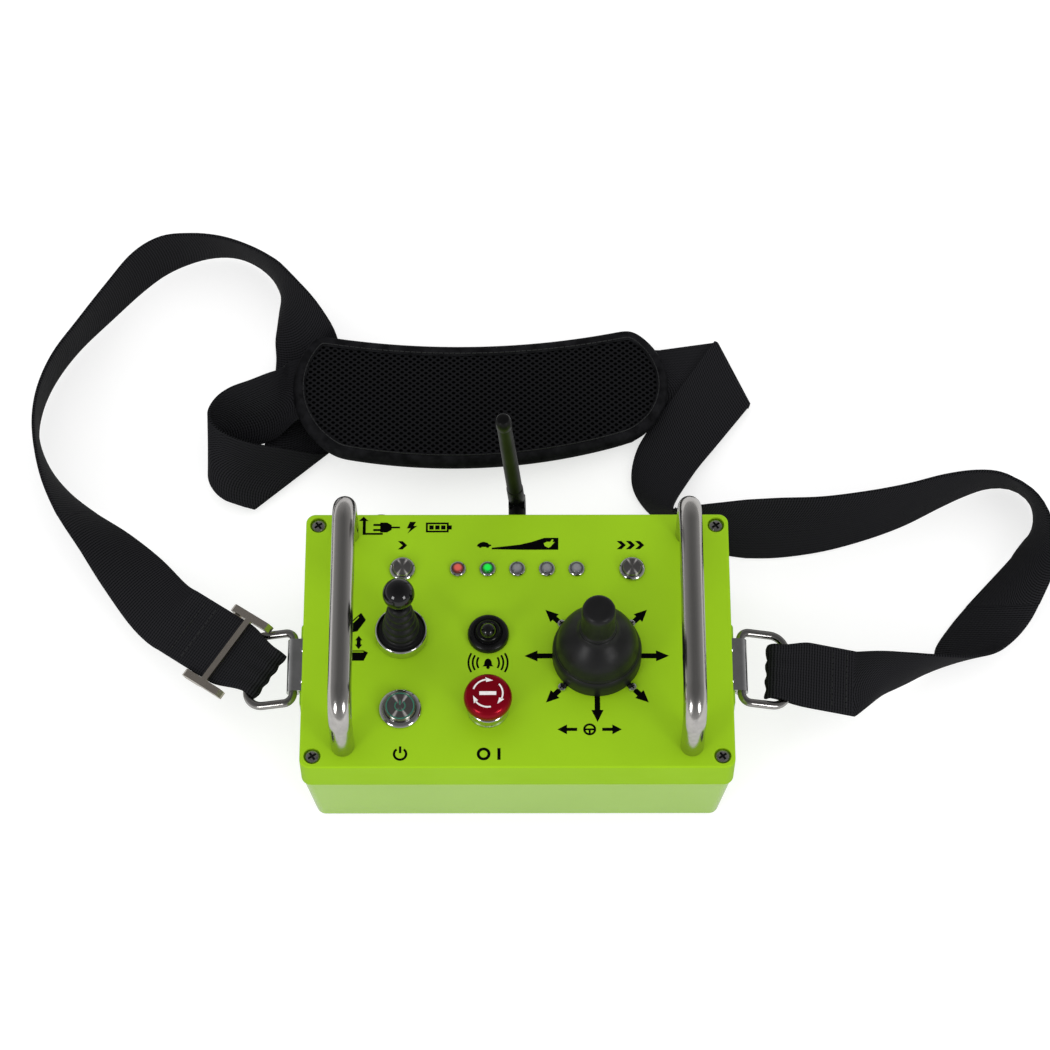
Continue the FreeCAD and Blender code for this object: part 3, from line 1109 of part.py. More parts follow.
def board_corners():
    """Screw places of the circuit board."""
    places = corners(BOARD_LENGTH / 2 - BOARD_SCREW_INSET, BOARD_WIDTH / 2 - BOARD_SCREW_INSET)
    return [(BOARD_X + x, BOARD_Y + y) for x, y in places]


def electronics():
    """Circuit board on its bosses, board screws and battery pack."""
    low = WALL + BOARD_BOSS
    high = low + BOARD
    board = block(BOARD_X, BOARD_Y, low, high, BOARD_LENGTH, BOARD_WIDTH)
    holes = [cylinder(x, y, low, high, BOARD_SCREW_R + HOLE_CLEARANCE) for x, y in board_corners()]
    save("circuit_board", board.cut(Part.makeCompound(holes)))
    tip, crown = WALL + BOARD_SCREW_ROOM, high + BOARD_SCREW_HEAD
    profile = [(0, tip), (BOARD_SCREW_R, tip), (BOARD_SCREW_R, high), (BOARD_SCREW_HEAD_R, high),
               (BOARD_SCREW_HEAD_R, crown), (0, crown)]
    save("board_screws", [turned(x, y, profile) for x, y in board_corners()])
    save("battery", block(BATTERY_X, BATTERY_Y, WALL, WALL + BATTERY_HEIGHT, BATTERY_LENGTH, BATTERY_WIDTH))


def main():
    os.makedirs("parts", exist_ok=True)
    save("base_housing", base_housing())
    save("lid", lid())
    save("lid_gasket", gasket())
    save("lid_screws", lid_screws())
    save("left_handle", handle(-HANDLE_X))
    save("right_handle", handle(HANDLE_X))
    save("handle_screws", handle_screws())
    tilt_lever()
    alarm_toggle()
    steering_joystick()
    push_buttons()
    stop_button()
    lamps()
    save("panel_nuts", panel_nuts())
    save("charge_socket", charge_socket())
    antenna()
    for name, side in (("left", -1), ("right", 1)):
        save(name + "_strap_bracket", strap_bracket(side))
        save(name + "_ring", strap_ring(side))
    save("bracket_screws", bracket_screws())
    strap()
    electronics()


main()
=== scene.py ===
"""Looks of a joystick remote control with a neck strap, dressed on its packed CAD frame."""
import math

import bmesh
import bpy
from bpy.props import FloatProperty, FloatVectorProperty, PointerProperty
from mathutils import Matrix, Vector


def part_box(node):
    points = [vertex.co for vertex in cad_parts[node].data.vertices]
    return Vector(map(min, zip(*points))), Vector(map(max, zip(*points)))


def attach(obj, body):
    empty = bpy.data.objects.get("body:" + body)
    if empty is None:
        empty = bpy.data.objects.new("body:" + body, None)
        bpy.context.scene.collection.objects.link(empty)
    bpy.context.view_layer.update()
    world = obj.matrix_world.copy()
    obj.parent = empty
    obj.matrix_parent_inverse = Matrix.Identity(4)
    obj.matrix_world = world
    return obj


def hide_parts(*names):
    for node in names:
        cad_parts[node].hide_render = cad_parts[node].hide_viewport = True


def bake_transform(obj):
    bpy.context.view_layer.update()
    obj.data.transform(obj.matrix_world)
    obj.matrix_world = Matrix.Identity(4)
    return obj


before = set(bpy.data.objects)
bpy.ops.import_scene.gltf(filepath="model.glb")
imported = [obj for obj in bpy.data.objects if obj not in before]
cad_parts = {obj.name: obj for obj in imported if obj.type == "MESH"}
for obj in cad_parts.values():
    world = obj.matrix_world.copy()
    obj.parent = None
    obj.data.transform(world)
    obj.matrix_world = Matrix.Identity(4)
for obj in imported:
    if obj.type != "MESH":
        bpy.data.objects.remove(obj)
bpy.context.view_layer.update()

bl_info = {
    "name": "Joystick Remote Control",
    "version": (1, 0, 0),
    "blender": (4, 5, 0),
    "location": "View3D > Sidebar > Remote",
    "description": "Dresses the remote control's CAD frame: painted box, levers, buttons, strap and neck pad",
    "category": "Object",
}

MM = 0.001


def top_of(node):
    """Height of a CAD node's top in millimetres."""
    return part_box(node)[1].z / MM


def middle(node):
    """Centre of a CAD node's box in millimetres."""
    low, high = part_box(node)
    return (low + high) / 2 / MM


TOP = top_of("lid")


def colour_of(name, value, description):
    return FloatVectorProperty(name=name, description=description, default=value, subtype="COLOR",
                               size=4, min=0.0, max=1.0)


def length_of(name, value, description):
    return FloatProperty(name=name, description=description, default=value, unit="LENGTH", precision=5)


class RemoteColours(bpy.types.PropertyGroup):
    """Colours of the paint, plastics, lamps and cloth."""
    paint: colour_of("Box paint", (0.285, 0.515, 0.010, 1), "Powder coat on the lid and base")
    print_ink: colour_of("Panel print", (0.002, 0.002, 0.002, 1), "Printed signs on the lid")
    stop_red: colour_of("Stop red", (0.26, 0.001, 0.010, 1), "Anodised head of the stop button")
    stop_print: colour_of("Stop print", (0.75, 0.72, 0.72, 1), "Arrows printed on the stop head")
    rubber: colour_of("Rubber", (0.0095, 0.0095, 0.0102, 1), "Boots, dome and collar")
    gloss_black: colour_of("Gloss black", (0.004, 0.004, 0.0045, 1), "Ball knob and toggle")
    lit_green: colour_of("Lit green", (0.005, 0.72, 0.06, 1), "Lit lamp")
    lit_red: colour_of("Lit red", (0.75, 0.12, 0.09, 1), "Weakly lit lamp")
    lit_ring: colour_of("Lit ring", (0.035, 0.2, 0.125, 1), "Ring and sign on the power button")
    webbing: colour_of("Webbing", (0.018, 0.018, 0.0205, 1), "Woven strap")
    mesh: colour_of("Pad mesh", (0.0095, 0.0095, 0.0105, 1), "Spacer mesh on the neck pad")
    thread: colour_of("Thread", (0.016, 0.016, 0.018, 1), "Sewing thread on the strap")


class RemoteSizes(bpy.types.PropertyGroup):
    """Sizes of the details added to the CAD shapes."""
    webbing_width: length_of("Webbing width", 38 * MM, "Width of the strap")
    webbing_thickness: length_of("Webbing thickness", 1.6 * MM, "Thickness of the strap")
    rib_pitch: length_of("Rib pitch", 1.5 * MM, "Distance between two ribs of the webbing")
    mesh_pitch: length_of("Mesh pitch", 4.4 * MM, "Distance between two holes of the pad's mesh")
    stitch: length_of("Stitch", 2.6 * MM, "Length of one sewn stitch")
    print_height: length_of("Print height", 0.05 * MM, "How far a printed sign stands off the lid")
    webbing_edge: length_of("Webbing edge", 0.35 * MM, "Rounding on the edges of the strap")


class StudioLight(bpy.types.PropertyGroup):
    """Light and camera of the studio."""
    softbox: FloatProperty(name="Softbox", description="Power of each softbox", default=7.0, unit="POWER")
    fill: FloatProperty(name="Fill", description="Strength of the light from all round", default=1.0)
    lens: FloatProperty(name="Lens", description="Focal length of the camera", default=119.24, unit="CAMERA")


class RemoteLooks(bpy.types.PropertyGroup):
    """All settings of the remote control's looks."""
    colours: PointerProperty(type=RemoteColours, name="Colours", description="Colours of the pieces")
    sizes: PointerProperty(type=RemoteSizes, name="Sizes", description="Sizes of the details")
    studio: PointerProperty(type=StudioLight, name="Studio", description="Light and camera")


def looks():
    """The settings in use."""
    return bpy.context.scene.remote_looks


# Meshes

SAME_POINT = 1e-7
CLOSE_POINTS = 1e-6
EASED_ANGLE = math.radians(32)


def points_in(geometry):
    """Points among the results of a mesh operator."""
    return [item for item in geometry if isinstance(item, bmesh.types.BMVert)]


def turned(profile, x, y, segments, closed=False):
    """Mesh turned about an upright axis from (radius, height) points in millimetres."""
    bm = bmesh.new()
    points = [bm.verts.new((radius * MM, 0, height * MM)) for radius, height in profile]
    pairs = list(zip(points, points[1:]))
    if closed:
        pairs.append((points[-1], points[0]))
    edges = [bm.edges.new(pair) for pair in pairs]
    bmesh.ops.spin(bm, geom=points + edges, cent=(0, 0, 0), axis=(0, 0, 1), dvec=(0, 0, 0),
                   angle=math.tau, steps=segments, use_merge=True, use_duplicate=False)
    bmesh.ops.remove_doubles(bm, verts=bm.verts, dist=SAME_POINT)
    bmesh.ops.dissolve_degenerate(bm, edges=bm.edges, dist=SAME_POINT)
    bmesh.ops.recalc_face_normals(bm, faces=bm.faces)
    bmesh.ops.translate(bm, verts=bm.verts, vec=(x * MM, y * MM, 0))
    return bm


def eased(bm, width):
    """Round every sharp edge by a width in millimetres."""
    sharp = [edge for edge in bm.edges if edge.is_manifold and edge.calc_face_angle() > EASED_ANGLE]
    bmesh.ops.bevel(bm, geom=sharp, offset=width * MM, offset_type="OFFSET", segments=3, profile=0.5,
                    affect="EDGES", clamp_overlap=True, material=-1)
    return bm


def joined(meshes):
    """One mesh from several."""
    bm = bmesh.new()
    for part in meshes:
        loose = bpy.data.meshes.new("loose")
        part.to_mesh(loose)
        part.free()
        bm.from_mesh(loose)
        bpy.data.meshes.remove(loose)
    return bm


def moved(bm, matrix):
    """Place a mesh, keeping its faces outward."""
    bmesh.ops.transform(bm, matrix=matrix, verts=bm.verts)
    if matrix.determinant() < 0:
        bmesh.ops.reverse_faces(bm, faces=bm.faces)
    return bm


def block(low, high):
    """Box between two corners in millimetres."""
    bm = bmesh.new()
    low, high = Vector(low) * MM, Vector(high) * MM
    scale = Matrix.Diagonal((*(high - low), 1))
    bmesh.ops.create_cube(bm, size=1.0, matrix=Matrix.Translation((low + high) / 2) @ scale)
    bm.normal_update()
    return bm


def bent_bar(radius, start, steps, segments):
    """Round bar that starts on a circle and follows runs and quarter bends, in millimetres."""
    place, along = start
    bm = bmesh.new()
    turn = Vector((0, 0, 1)).rotation_difference(Vector(along)).to_matrix().to_4x4()
    bmesh.ops.create_circle(bm, cap_ends=True, radius=radius * MM, segments=segments,
                            matrix=Matrix.Translation(Vector(place) * MM) @ turn)
    edges = bm.edges[:]
    for kind, *values in steps:
        if kind == "run":
            grown = bmesh.ops.extrude_edge_only(bm, edges=edges)["geom"]
            bmesh.ops.translate(bm, verts=points_in(grown), vec=Vector(values[0]) * MM)
        else:
            centre, axis, angle = values
            grown = bmesh.ops.spin(bm, geom=edges, cent=Vector(centre) * MM, axis=axis, dvec=(0, 0, 0),
                                   angle=math.radians(angle), steps=14, use_merge=False,
                                   use_duplicate=False)["geom_last"]
        edges = [item for item in grown if isinstance(item, bmesh.types.BMEdge)]
    bmesh.ops.remove_doubles(bm, verts=bm.verts, dist=CLOSE_POINTS)
    bmesh.ops.holes_fill(bm, edges=bm.edges, sides=segments)
    bmesh.ops.recalc_face_normals(bm, faces=bm.faces)
    return bm


def raised(bm, height):
    """Raise a flat mesh to a solid with a height in millimetres."""
    grown = bmesh.ops.extrude_face_region(bm, geom=bm.faces[:])["geom"]
    bmesh.ops.translate(bm, verts=points_in(grown), vec=(0, 0, height * MM))
    bmesh.ops.recalc_face_normals(bm, faces=bm.faces)
    return bm


def prism(outline, low, high):
    """Flat outline of (x, y) points in millimetres, raised between two heights."""
    bm = bmesh.new()
    bm.faces.new([bm.verts.new((x * MM, y * MM, low * MM)) for x, y in outline])
    return raised(bm, high - low)


def arc_band(x, y, inner, outer, start, sweep, low, high, steps=40):
    """Flat band round a centre, from one angle over a sweep in degrees."""
    bm = bmesh.new()
    turn = math.radians(start)
    ends = [bm.verts.new((radius * MM * math.cos(turn), radius * MM * math.sin(turn), low * MM))
            for radius in (inner, outer)]
    edge = bm.edges.new(ends)
    bmesh.ops.spin(bm, geom=ends + [edge], cent=(0, 0, 0), axis=(0, 0, 1), dvec=(0, 0, 0),
                   angle=math.radians(sweep), steps=steps, use_merge=abs(sweep) >= 360, use_duplicate=False)
    raised(bm, high - low)
    bmesh.ops.translate(bm, verts=bm.verts, vec=(x * MM, y * MM, 0))
    return bm


def bar(x0, y0, x1, y1):
    """Outline of an upright rectangle."""
    return [(x0, y0), (x1, y0), (x1, y1), (x0, y1)]


def ball_points(radius, centre, step, count):
    """Points down the outside of a ball from its crown, at a step in degrees."""
    turns = [math.radians(90 - step * index) for index in range(1, count)]
    return [(0, centre + radius)] + [(radius * math.cos(turn), centre + radius * math.sin(turn)) for turn in turns]


def piece(name, bm, finish, body, stands_for=(), crease=38):
    """Object from a mesh, riding on a body and standing for its CAD nodes."""
    mesh = bpy.data.meshes.new(name)
    bm.to_mesh(mesh)
    bm.free()
    mesh.polygons.foreach_set("use_smooth", [True] * len(mesh.polygons))
    mesh.set_sharp_from_angle(angle=math.radians(crease))
    mesh.materials.append(bpy.data.materials[finish])
    made = bpy.data.objects.new(name, mesh)
    bpy.context.scene.collection.objects.link(made)
    if body:
        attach(made, body)
    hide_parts(*stands_for)
    return made


def with_modifier(made, kind, **values):
    """Add a modifier whose values are set by name."""
    modifier = made.modifiers.new(kind.title(), kind)
    for label, value in values.items():
        setattr(modifier, label, value)
    return made


# Materials

def add(tree, kind, inputs=None, **values):
    """Node with its values set and its inputs linked or filled."""
    made = tree.nodes.new(kind)
    for label, value in values.items():
        setattr(made, label, value)
    for socket, value in (inputs or {}).items():
        if isinstance(value, bpy.types.NodeSocket):
            tree.links.new(value, made.inputs[socket])
        else:
            made.inputs[socket].default_value = value
    return made


def maths(tree, operation, *values):
    """Math node's result."""
    return add(tree, "ShaderNodeMath", dict(enumerate(values)), operation=operation).outputs[0]


def ranged(tree, value, source=(0.0, 1.0), target=(0.0, 1.0), smooth="LINEAR"):
    """Value moved from one span to another."""
    ends = {"From Min": source[0], "From Max": source[1], "To Min": target[0], "To Max": target[1]}
    return add(tree, "ShaderNodeMapRange", {"Value": value, **ends}, interpolation_type=smooth).outputs["Result"]


def mixed(tree, share, first, second):
    """Colour at a share of the way between two colours."""
    return add(tree, "ShaderNodeMix", {"Factor": share, 6: first, 7: second}, data_type="RGBA").outputs[2]


def split_up(tree, vector):
    """X, Y and Z of a vector."""
    return add(tree, "ShaderNodeSeparateXYZ", {"Vector": vector}).outputs


def object_place(tree):
    """Place on the object itself."""
    return add(tree, "ShaderNodeTexCoord").outputs["Object"]


def node_group(name, inputs, outputs):
    """Empty shader group with its sockets, whose kinds follow from their values and names."""
    tree = bpy.data.node_groups.new(name, "ShaderNodeTree")
    for label, value in inputs.items():
        kind = "Vector" if value is None else "Color" if isinstance(value, tuple) else "Float"
        socket = tree.interface.new_socket(label, in_out="INPUT", socket_type="NodeSocket" + kind)
        if value is not None:
            socket.default_value = value
    for label in outputs:
        kind = "Color" if label == "Color" else "Float"
        tree.interface.new_socket(label, in_out="OUTPUT", socket_type="NodeSocket" + kind)
    return tree, tree.nodes.new("NodeGroupInput").outputs, tree.nodes.new("NodeGroupOutput").inputs


def patina_group():
    """Slow change of tone and gloss over a surface, with a fine grain."""
    tree, given, put = node_group("patina", {
        "Vector": None, "Color": (0.5, 0.5, 0.5, 1), "Shade": (0.4, 0.4, 0.4, 1), "Patch Scale": 30.0,
        "Grain Scale": 900.0, "Roughness Low": 0.3, "Roughness High": 0.4}, ("Color", "Roughness", "Grain"))
    patch = add(tree, "ShaderNodeTexNoise", {"Vector": given["Vector"], "Scale": given["Patch Scale"],
                                             "Detail": 4.0, "Roughness": 0.6}).outputs["Fac"]
    grain = add(tree, "ShaderNodeTexNoise", {"Vector": given["Vector"], "Scale": given["Grain Scale"],
                                             "Detail": 2.0}).outputs["Fac"]
    share = ranged(tree, patch, (0.35, 0.65))
    gloss = ranged(tree, share, target=(given["Roughness Low"], given["Roughness High"]))
    tree.links.new(mixed(tree, share, given["Color"], given["Shade"]), put["Color"])
    tree.links.new(gloss, put["Roughness"])
    tree.links.new(grain, put["Grain"])


def weave_group():
    """Ribbed webbing: weft ribs across the strap with warp threads between them."""
    tree, given, put = node_group("webbing_weave_with_painted_shade", {
        "Vector": None, "Rib Pitch": 0.0015, "Thread Pitch": 0.00165, "Color": (0.02, 0.02, 0.02, 1),
        "Painted Groove Shade": (0.003, 0.003, 0.003, 1)}, ("Height", "Color"))
    split = split_up(tree, given["Vector"])
    along = maths(tree, "MULTIPLY", maths(tree, "DIVIDE", split["X"], given["Rib Pitch"]), math.tau)
    across = maths(tree, "MULTIPLY", maths(tree, "DIVIDE", split["Y"], given["Thread Pitch"]), math.pi)
    thread = maths(tree, "SINE", across)
    rib = maths(tree, "SINE", maths(tree, "ADD", along, maths(tree, "MULTIPLY", thread, 0.3)))
    rib = maths(tree, "MULTIPLY_ADD", rib, 0.5, 0.5)
    bump = maths(tree, "MULTIPLY", maths(tree, "ADD", rib, 0.5), maths(tree, "ABSOLUTE", thread))
    height = maths(tree, "ADD", maths(tree, "MULTIPLY", rib, 0.6), maths(tree, "MULTIPLY", bump, 0.4))
    # Painted shade: the colour darkens from the ribs down into the grooves
    tone = mixed(tree, ranged(tree, height, (0.0, 0.7)), given["Painted Groove Shade"], given["Color"])
    tree.links.new(height, put["Height"])
    tree.links.new(tone, put["Color"])


def mesh_group():
    """Spacer mesh: rows of staggered round holes between raised threads."""
    tree, given, put = node_group("spacer_mesh_with_painted_shade", {
        "Vector": None, "Pitch": 0.0044, "Color": (0.02, 0.02, 0.02, 1), "Painted Hole Shade": (0.001, 0.001, 0.001, 1)},
        ("Height", "Color"))
    split = split_up(tree, given["Vector"])
    x = maths(tree, "MULTIPLY", maths(tree, "DIVIDE", split["X"], given["Pitch"]), math.pi)
    y = maths(tree, "MULTIPLY", maths(tree, "DIVIDE", split["Y"], given["Pitch"]), math.pi * 1.25)
    first = maths(tree, "COSINE", maths(tree, "ADD", x, y))
    second = maths(tree, "COSINE", maths(tree, "SUBTRACT", x, y))
    depth = maths(tree, "ABSOLUTE", maths(tree, "MULTIPLY", first, second))
    share = ranged(tree, depth, (0.25, 0.75), smooth="SMOOTHSTEP")
    tree.links.new(maths(tree, "SUBTRACT", 1.0, share), put["Height"])
    # Painted shade: the colour darkens into the holes
    tree.links.new(mixed(tree, share, given["Color"], given["Painted Hole Shade"]), put["Color"])


def grouped(tree, name, inputs):
    """Results of a named group with its inputs linked or filled."""
    return add(tree, "ShaderNodeGroup", inputs, node_tree=bpy.data.node_groups[name]).outputs


def shader_of(name, **plain):
    """Node tree and surface shader of a new material, with plain values set on the shader's own sockets."""
    material = bpy.data.materials.new(name)
    material.use_nodes = True
    shader = material.node_tree.nodes["Principled BSDF"]
    for label, value in plain.items():
        shader.inputs[label.replace("_", " ").title().replace("Ior", "IOR")].default_value = value
    return material.node_tree, shader


def bumped(tree, shader, height, strength, distance):
    """Bump from a height into the shader's normal."""
    bump = add(tree, "ShaderNodeBump", {"Height": height, "Strength": strength, "Distance": distance})
    tree.links.new(bump.outputs["Normal"], shader.inputs["Normal"])


def aged(name, colour, shade, roughness, patch, grain, relief, depth, stretch=(1, 1, 1), **plain):
    """Material on object coordinates: slow changes from one tone and gloss to another, and a fine grain.

    The sizes of its patches and its grain are scales, the grain's relief a strength and a depth in metres.
    """
    tree, shader = shader_of(name, **plain)
    place = add(tree, "ShaderNodeMapping", {"Vector": object_place(tree), "Scale": stretch}).outputs["Vector"]
    made = grouped(tree, "patina", {
        "Vector": place, "Color": colour, "Shade": shade, "Patch Scale": patch, "Grain Scale": grain,
        "Roughness Low": roughness[0], "Roughness High": roughness[1]})
    tree.links.new(made["Color"], shader.inputs["Base Color"])
    tree.links.new(made["Roughness"], shader.inputs["Roughness"])
    bumped(tree, shader, made["Grain"], relief, depth)


def deeper(colour, share):
    """Darker tone of a colour."""
    return tuple(part * share for part in colour[:3]) + (1,)


def woven(name, colour):
    """Ribbed webbing on the strap's own weave map."""
    tree, shader = shader_of(name, roughness=0.6, specular_ior_level=0.03)
    pitch = looks().sizes.rib_pitch
    made = grouped(tree, "webbing_weave_with_painted_shade", {
        "Vector": add(tree, "ShaderNodeUVMap", uv_map="weave").outputs["UV"], "Rib Pitch": pitch,
        "Thread Pitch": pitch * 1.1, "Color": colour, "Painted Groove Shade": deeper(colour, 0.06)})
    tree.links.new(made["Color"], shader.inputs["Base Color"])
    bumped(tree, shader, made["Height"], 0.5, 0.3 * MM)


def spacer_mesh_with_painted_shade(name, colour):
    """Mesh cloth of the neck pad."""
    tree, shader = shader_of(name, roughness=0.7, specular_ior_level=0.0)
    made = grouped(tree, "spacer_mesh_with_painted_shade", {"Vector": object_place(tree), "Pitch": looks().sizes.mesh_pitch,
                                         "Color": colour, "Painted Hole Shade": deeper(colour, 0.05)})
    tree.links.new(made["Color"], shader.inputs["Base Color"])
    bumped(tree, shader, made["Height"], 0.4, 0.6 * MM)


def turned_steel_painted_glints(name):
    """Turned button face: round tool marks and four bright rays, on the cap's own map of angle and radius."""
    tree, shader = shader_of(name, anisotropic=0.6, anisotropic_rotation=0.25)
    place = add(tree, "ShaderNodeUVMap", uv_map="turning").outputs["UV"]
    marks = add(tree, "ShaderNodeMapping", {"Vector": place, "Scale": (1.5, 26000.0, 1.0)}).outputs["Vector"]
    noise = add(tree, "ShaderNodeTexNoise", {"Vector": marks, "Scale": 1.0, "Detail": 2.0}).outputs["Fac"]
    split = split_up(tree, place)
    # Painted highlight: four bright, less metallic rays at fixed angles, fading towards the centre
    swing = maths(tree, "COSINE", maths(tree, "MULTIPLY", split["X"], 2 * math.tau))
    outer = ranged(tree, split["Y"], (1.2 * MM, 3.4 * MM), (0.1, 0.75))
    off = maths(tree, "ABSOLUTE", maths(tree, "ADD", swing, 0.5))
    painted_glint = ranged(tree, off, (0.0, 0.42), (1.0, 0.0), "SMOOTHERSTEP")
    painted_glint = maths(tree, "MULTIPLY", maths(tree, "MULTIPLY", painted_glint, outer), maths(tree, "ADD", noise, 0.3))
    tone = ranged(tree, painted_glint, target=(0.3, 0.95))
    tint = add(tree, "ShaderNodeCombineColor", {"Red": tone, "Green": maths(tree, "MULTIPLY", tone, 0.96),
                                                "Blue": maths(tree, "MULTIPLY", tone, 0.94)})
    tangent = add(tree, "ShaderNodeTangent", direction_type="UV_MAP", uv_map="turning")
    tree.links.new(tint.outputs["Color"], shader.inputs["Base Color"])
    tree.links.new(ranged(tree, painted_glint, target=(1.0, 0.45)), shader.inputs["Metallic"])
    tree.links.new(ranged(tree, noise, target=(0.26, 0.38)), shader.inputs["Roughness"])
    tree.links.new(tangent.outputs["Tangent"], shader.inputs["Tangent"])
    bumped(tree, shader, noise, 0.12, 0.03 * MM)


def lens(name, colour, glow, strength):
    """Lamp lens: a frosted plastic dome whose light shows at its crown."""
    tree, shader = shader_of(name, roughness=0.22, coat_weight=0.6, coat_roughness=0.05, emission_strength=strength)
    place = object_place(tree)
    noise = add(tree, "ShaderNodeTexNoise", {"Vector": place, "Scale": 1400.0, "Detail": 3.0}).outputs["Fac"]
    crown = ranged(tree, split_up(tree, place)["Z"], ((TOP + 2.1) * MM, (TOP + 2.6) * MM), smooth="SMOOTHSTEP")
    tree.links.new(mixed(tree, noise, colour, deeper(colour, 0.55)), shader.inputs["Base Color"])
    tree.links.new(mixed(tree, crown, deeper(glow, 0.05), glow), shader.inputs["Emission Color"])


def make_finishes():
    """Every material of the remote control, by name."""
    colours = looks().colours
    patina_group()
    weave_group()
    mesh_group()
    paint, rubber, gloss, red = colours.paint, colours.rubber, colours.gloss_black, colours.stop_red
    aged("lid_paint", paint, deeper(paint, 0.95), (0.4, 0.5), patch=14, grain=700, relief=0.05, depth=0.0002,
         specular_ior_level=0.08)
    aged("base_paint", paint, deeper(paint, 0.95), (0.2, 0.26), patch=14, grain=700, relief=0.02, depth=0.0001,
         specular_ior_level=0.5, coat_weight=0.3, coat_roughness=0.1)
    aged("polished_steel", (0.56, 0.54, 0.52, 1), (0.48, 0.465, 0.45, 1), (0.14, 0.22), patch=60, grain=1200,
         relief=0.03, depth=0.00005, stretch=(6, 0.15, 6), metallic=1.0)
    aged("ring_steel", (0.4, 0.39, 0.38, 1), (0.3, 0.29, 0.28, 1), (0.14, 0.24), patch=90, grain=1200, relief=0.05,
         depth=0.00005, metallic=1.0)
    aged("chrome", (0.72, 0.72, 0.72, 1), (0.62, 0.62, 0.62, 1), (0.07, 0.13), patch=120, grain=1500, relief=0.02,
         depth=0.00003, metallic=1.0)
    aged("screw_steel", (0.56, 0.55, 0.53, 1), (0.4, 0.39, 0.38, 1), (0.2, 0.32), patch=260, grain=2200, relief=0.15,
         depth=0.00005, metallic=1.0)
    # Painted shade for the insides of the screws' cross recesses
    aged("recess_painted_shade", (0.012, 0.012, 0.012, 1), (0.006, 0.006, 0.006, 1), (0.5, 0.6), patch=300, grain=2200,
         relief=0.1, depth=0.00005, specular_ior_level=0.1)
    aged("nickel", (0.62, 0.56, 0.49, 1), (0.48, 0.43, 0.38, 1), (0.2, 0.34), patch=90, grain=1500, relief=0.1,
         depth=0.00005, metallic=1.0)
    aged("rubber", rubber, deeper(rubber, 0.7), (0.36, 0.44), patch=70, grain=1600, relief=0.2, depth=0.0001,
         specular_ior_level=0.2)
    aged("gloss_black", gloss, deeper(gloss, 0.8), (0.05, 0.08), patch=50, grain=1200, relief=0.02, depth=0.00003,
         specular_ior_level=0.45)
    aged("satin_black", deeper(rubber, 0.55), deeper(rubber, 0.4), (0.22, 0.3), patch=60, grain=1500, relief=0.12,
         depth=0.00006, specular_ior_level=0.3)
    aged("stop_anodised", red, deeper(red, 0.8), (0.22, 0.27), patch=80, grain=1500, relief=0.04, depth=0.00003,
         metallic=0.5, specular_ior_level=0.15)
    aged("stop_print", colours.stop_print, deeper(colours.stop_print, 0.9), (0.5, 0.6), patch=300, grain=2500,
         relief=0.1, depth=0.00003)
    aged("panel_ink", colours.print_ink, deeper(colours.print_ink, 0.7), (0.6, 0.75), patch=200, grain=2500,
         relief=0.15, depth=0.00003, specular_ior_level=0.02)
    aged("antenna_black", deeper(rubber, 0.35), deeper(rubber, 0.25), (0.34, 0.42), patch=60, grain=1500, relief=0.12,
         depth=0.00006, specular_ior_level=0.16)
    aged("binding_tape", deeper(colours.webbing, 0.6), deeper(colours.webbing, 0.25), (0.5, 0.65), patch=160,
         grain=3000, relief=0.5, depth=0.00015, specular_ior_level=0.03)
    aged("thread", colours.thread, deeper(colours.thread, 0.7), (0.5, 0.65), patch=400, grain=4000, relief=0.3,
         depth=0.0001)
    aged("machined_metal", (0.6, 0.61, 0.62, 1), (0.5, 0.51, 0.52, 1), (0.25, 0.36), patch=90, grain=1500, relief=0.1,
         depth=0.00005, metallic=1.0)
    aged("switch_plastic", (0.02, 0.02, 0.021, 1), (0.014, 0.014, 0.015, 1), (0.45, 0.6), patch=80, grain=1200,
         relief=0.2, depth=0.0001)
    aged("board_lacquer", (0.012, 0.1, 0.04, 1), (0.01, 0.07, 0.03, 1), (0.25, 0.4), patch=350, grain=1200, relief=0.1,
         depth=0.0001)
    aged("battery_sleeve", (0.03, 0.04, 0.08, 1), (0.02, 0.03, 0.06, 1), (0.3, 0.45), patch=60, grain=900, relief=0.15,
         depth=0.0002)
    lens("lamp_red_plastic", deeper(colours.lit_red, 0.2), colours.lit_red, 0.75)
    lens("lamp_green_plastic", deeper(colours.lit_green, 0.25), colours.lit_green, 1.0)
    # The clear lenses are unlit: their faint crown glow is a painted highlight
    lens("lamp_clear_plastic_painted_glint", (0.15, 0.155, 0.175, 1), (0.5, 0.48, 0.45, 1), 0.2)
    aged("lit_ring", colours.lit_ring, deeper(colours.lit_ring, 0.75), (0.25, 0.35), patch=500, grain=2500,
         relief=0.05, depth=0.00003)
    woven("webbing", colours.webbing)
    spacer_mesh_with_painted_shade("pad_cloth", colours.mesh)
    turned_steel_painted_glints("turned_steel_painted_glints")


def dress(finish, *nodes):
    """Give CAD nodes a material."""
    for node in nodes:
        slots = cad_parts[node].data.materials
        slots.clear()
        slots.append(bpy.data.materials[finish])


# Pieces

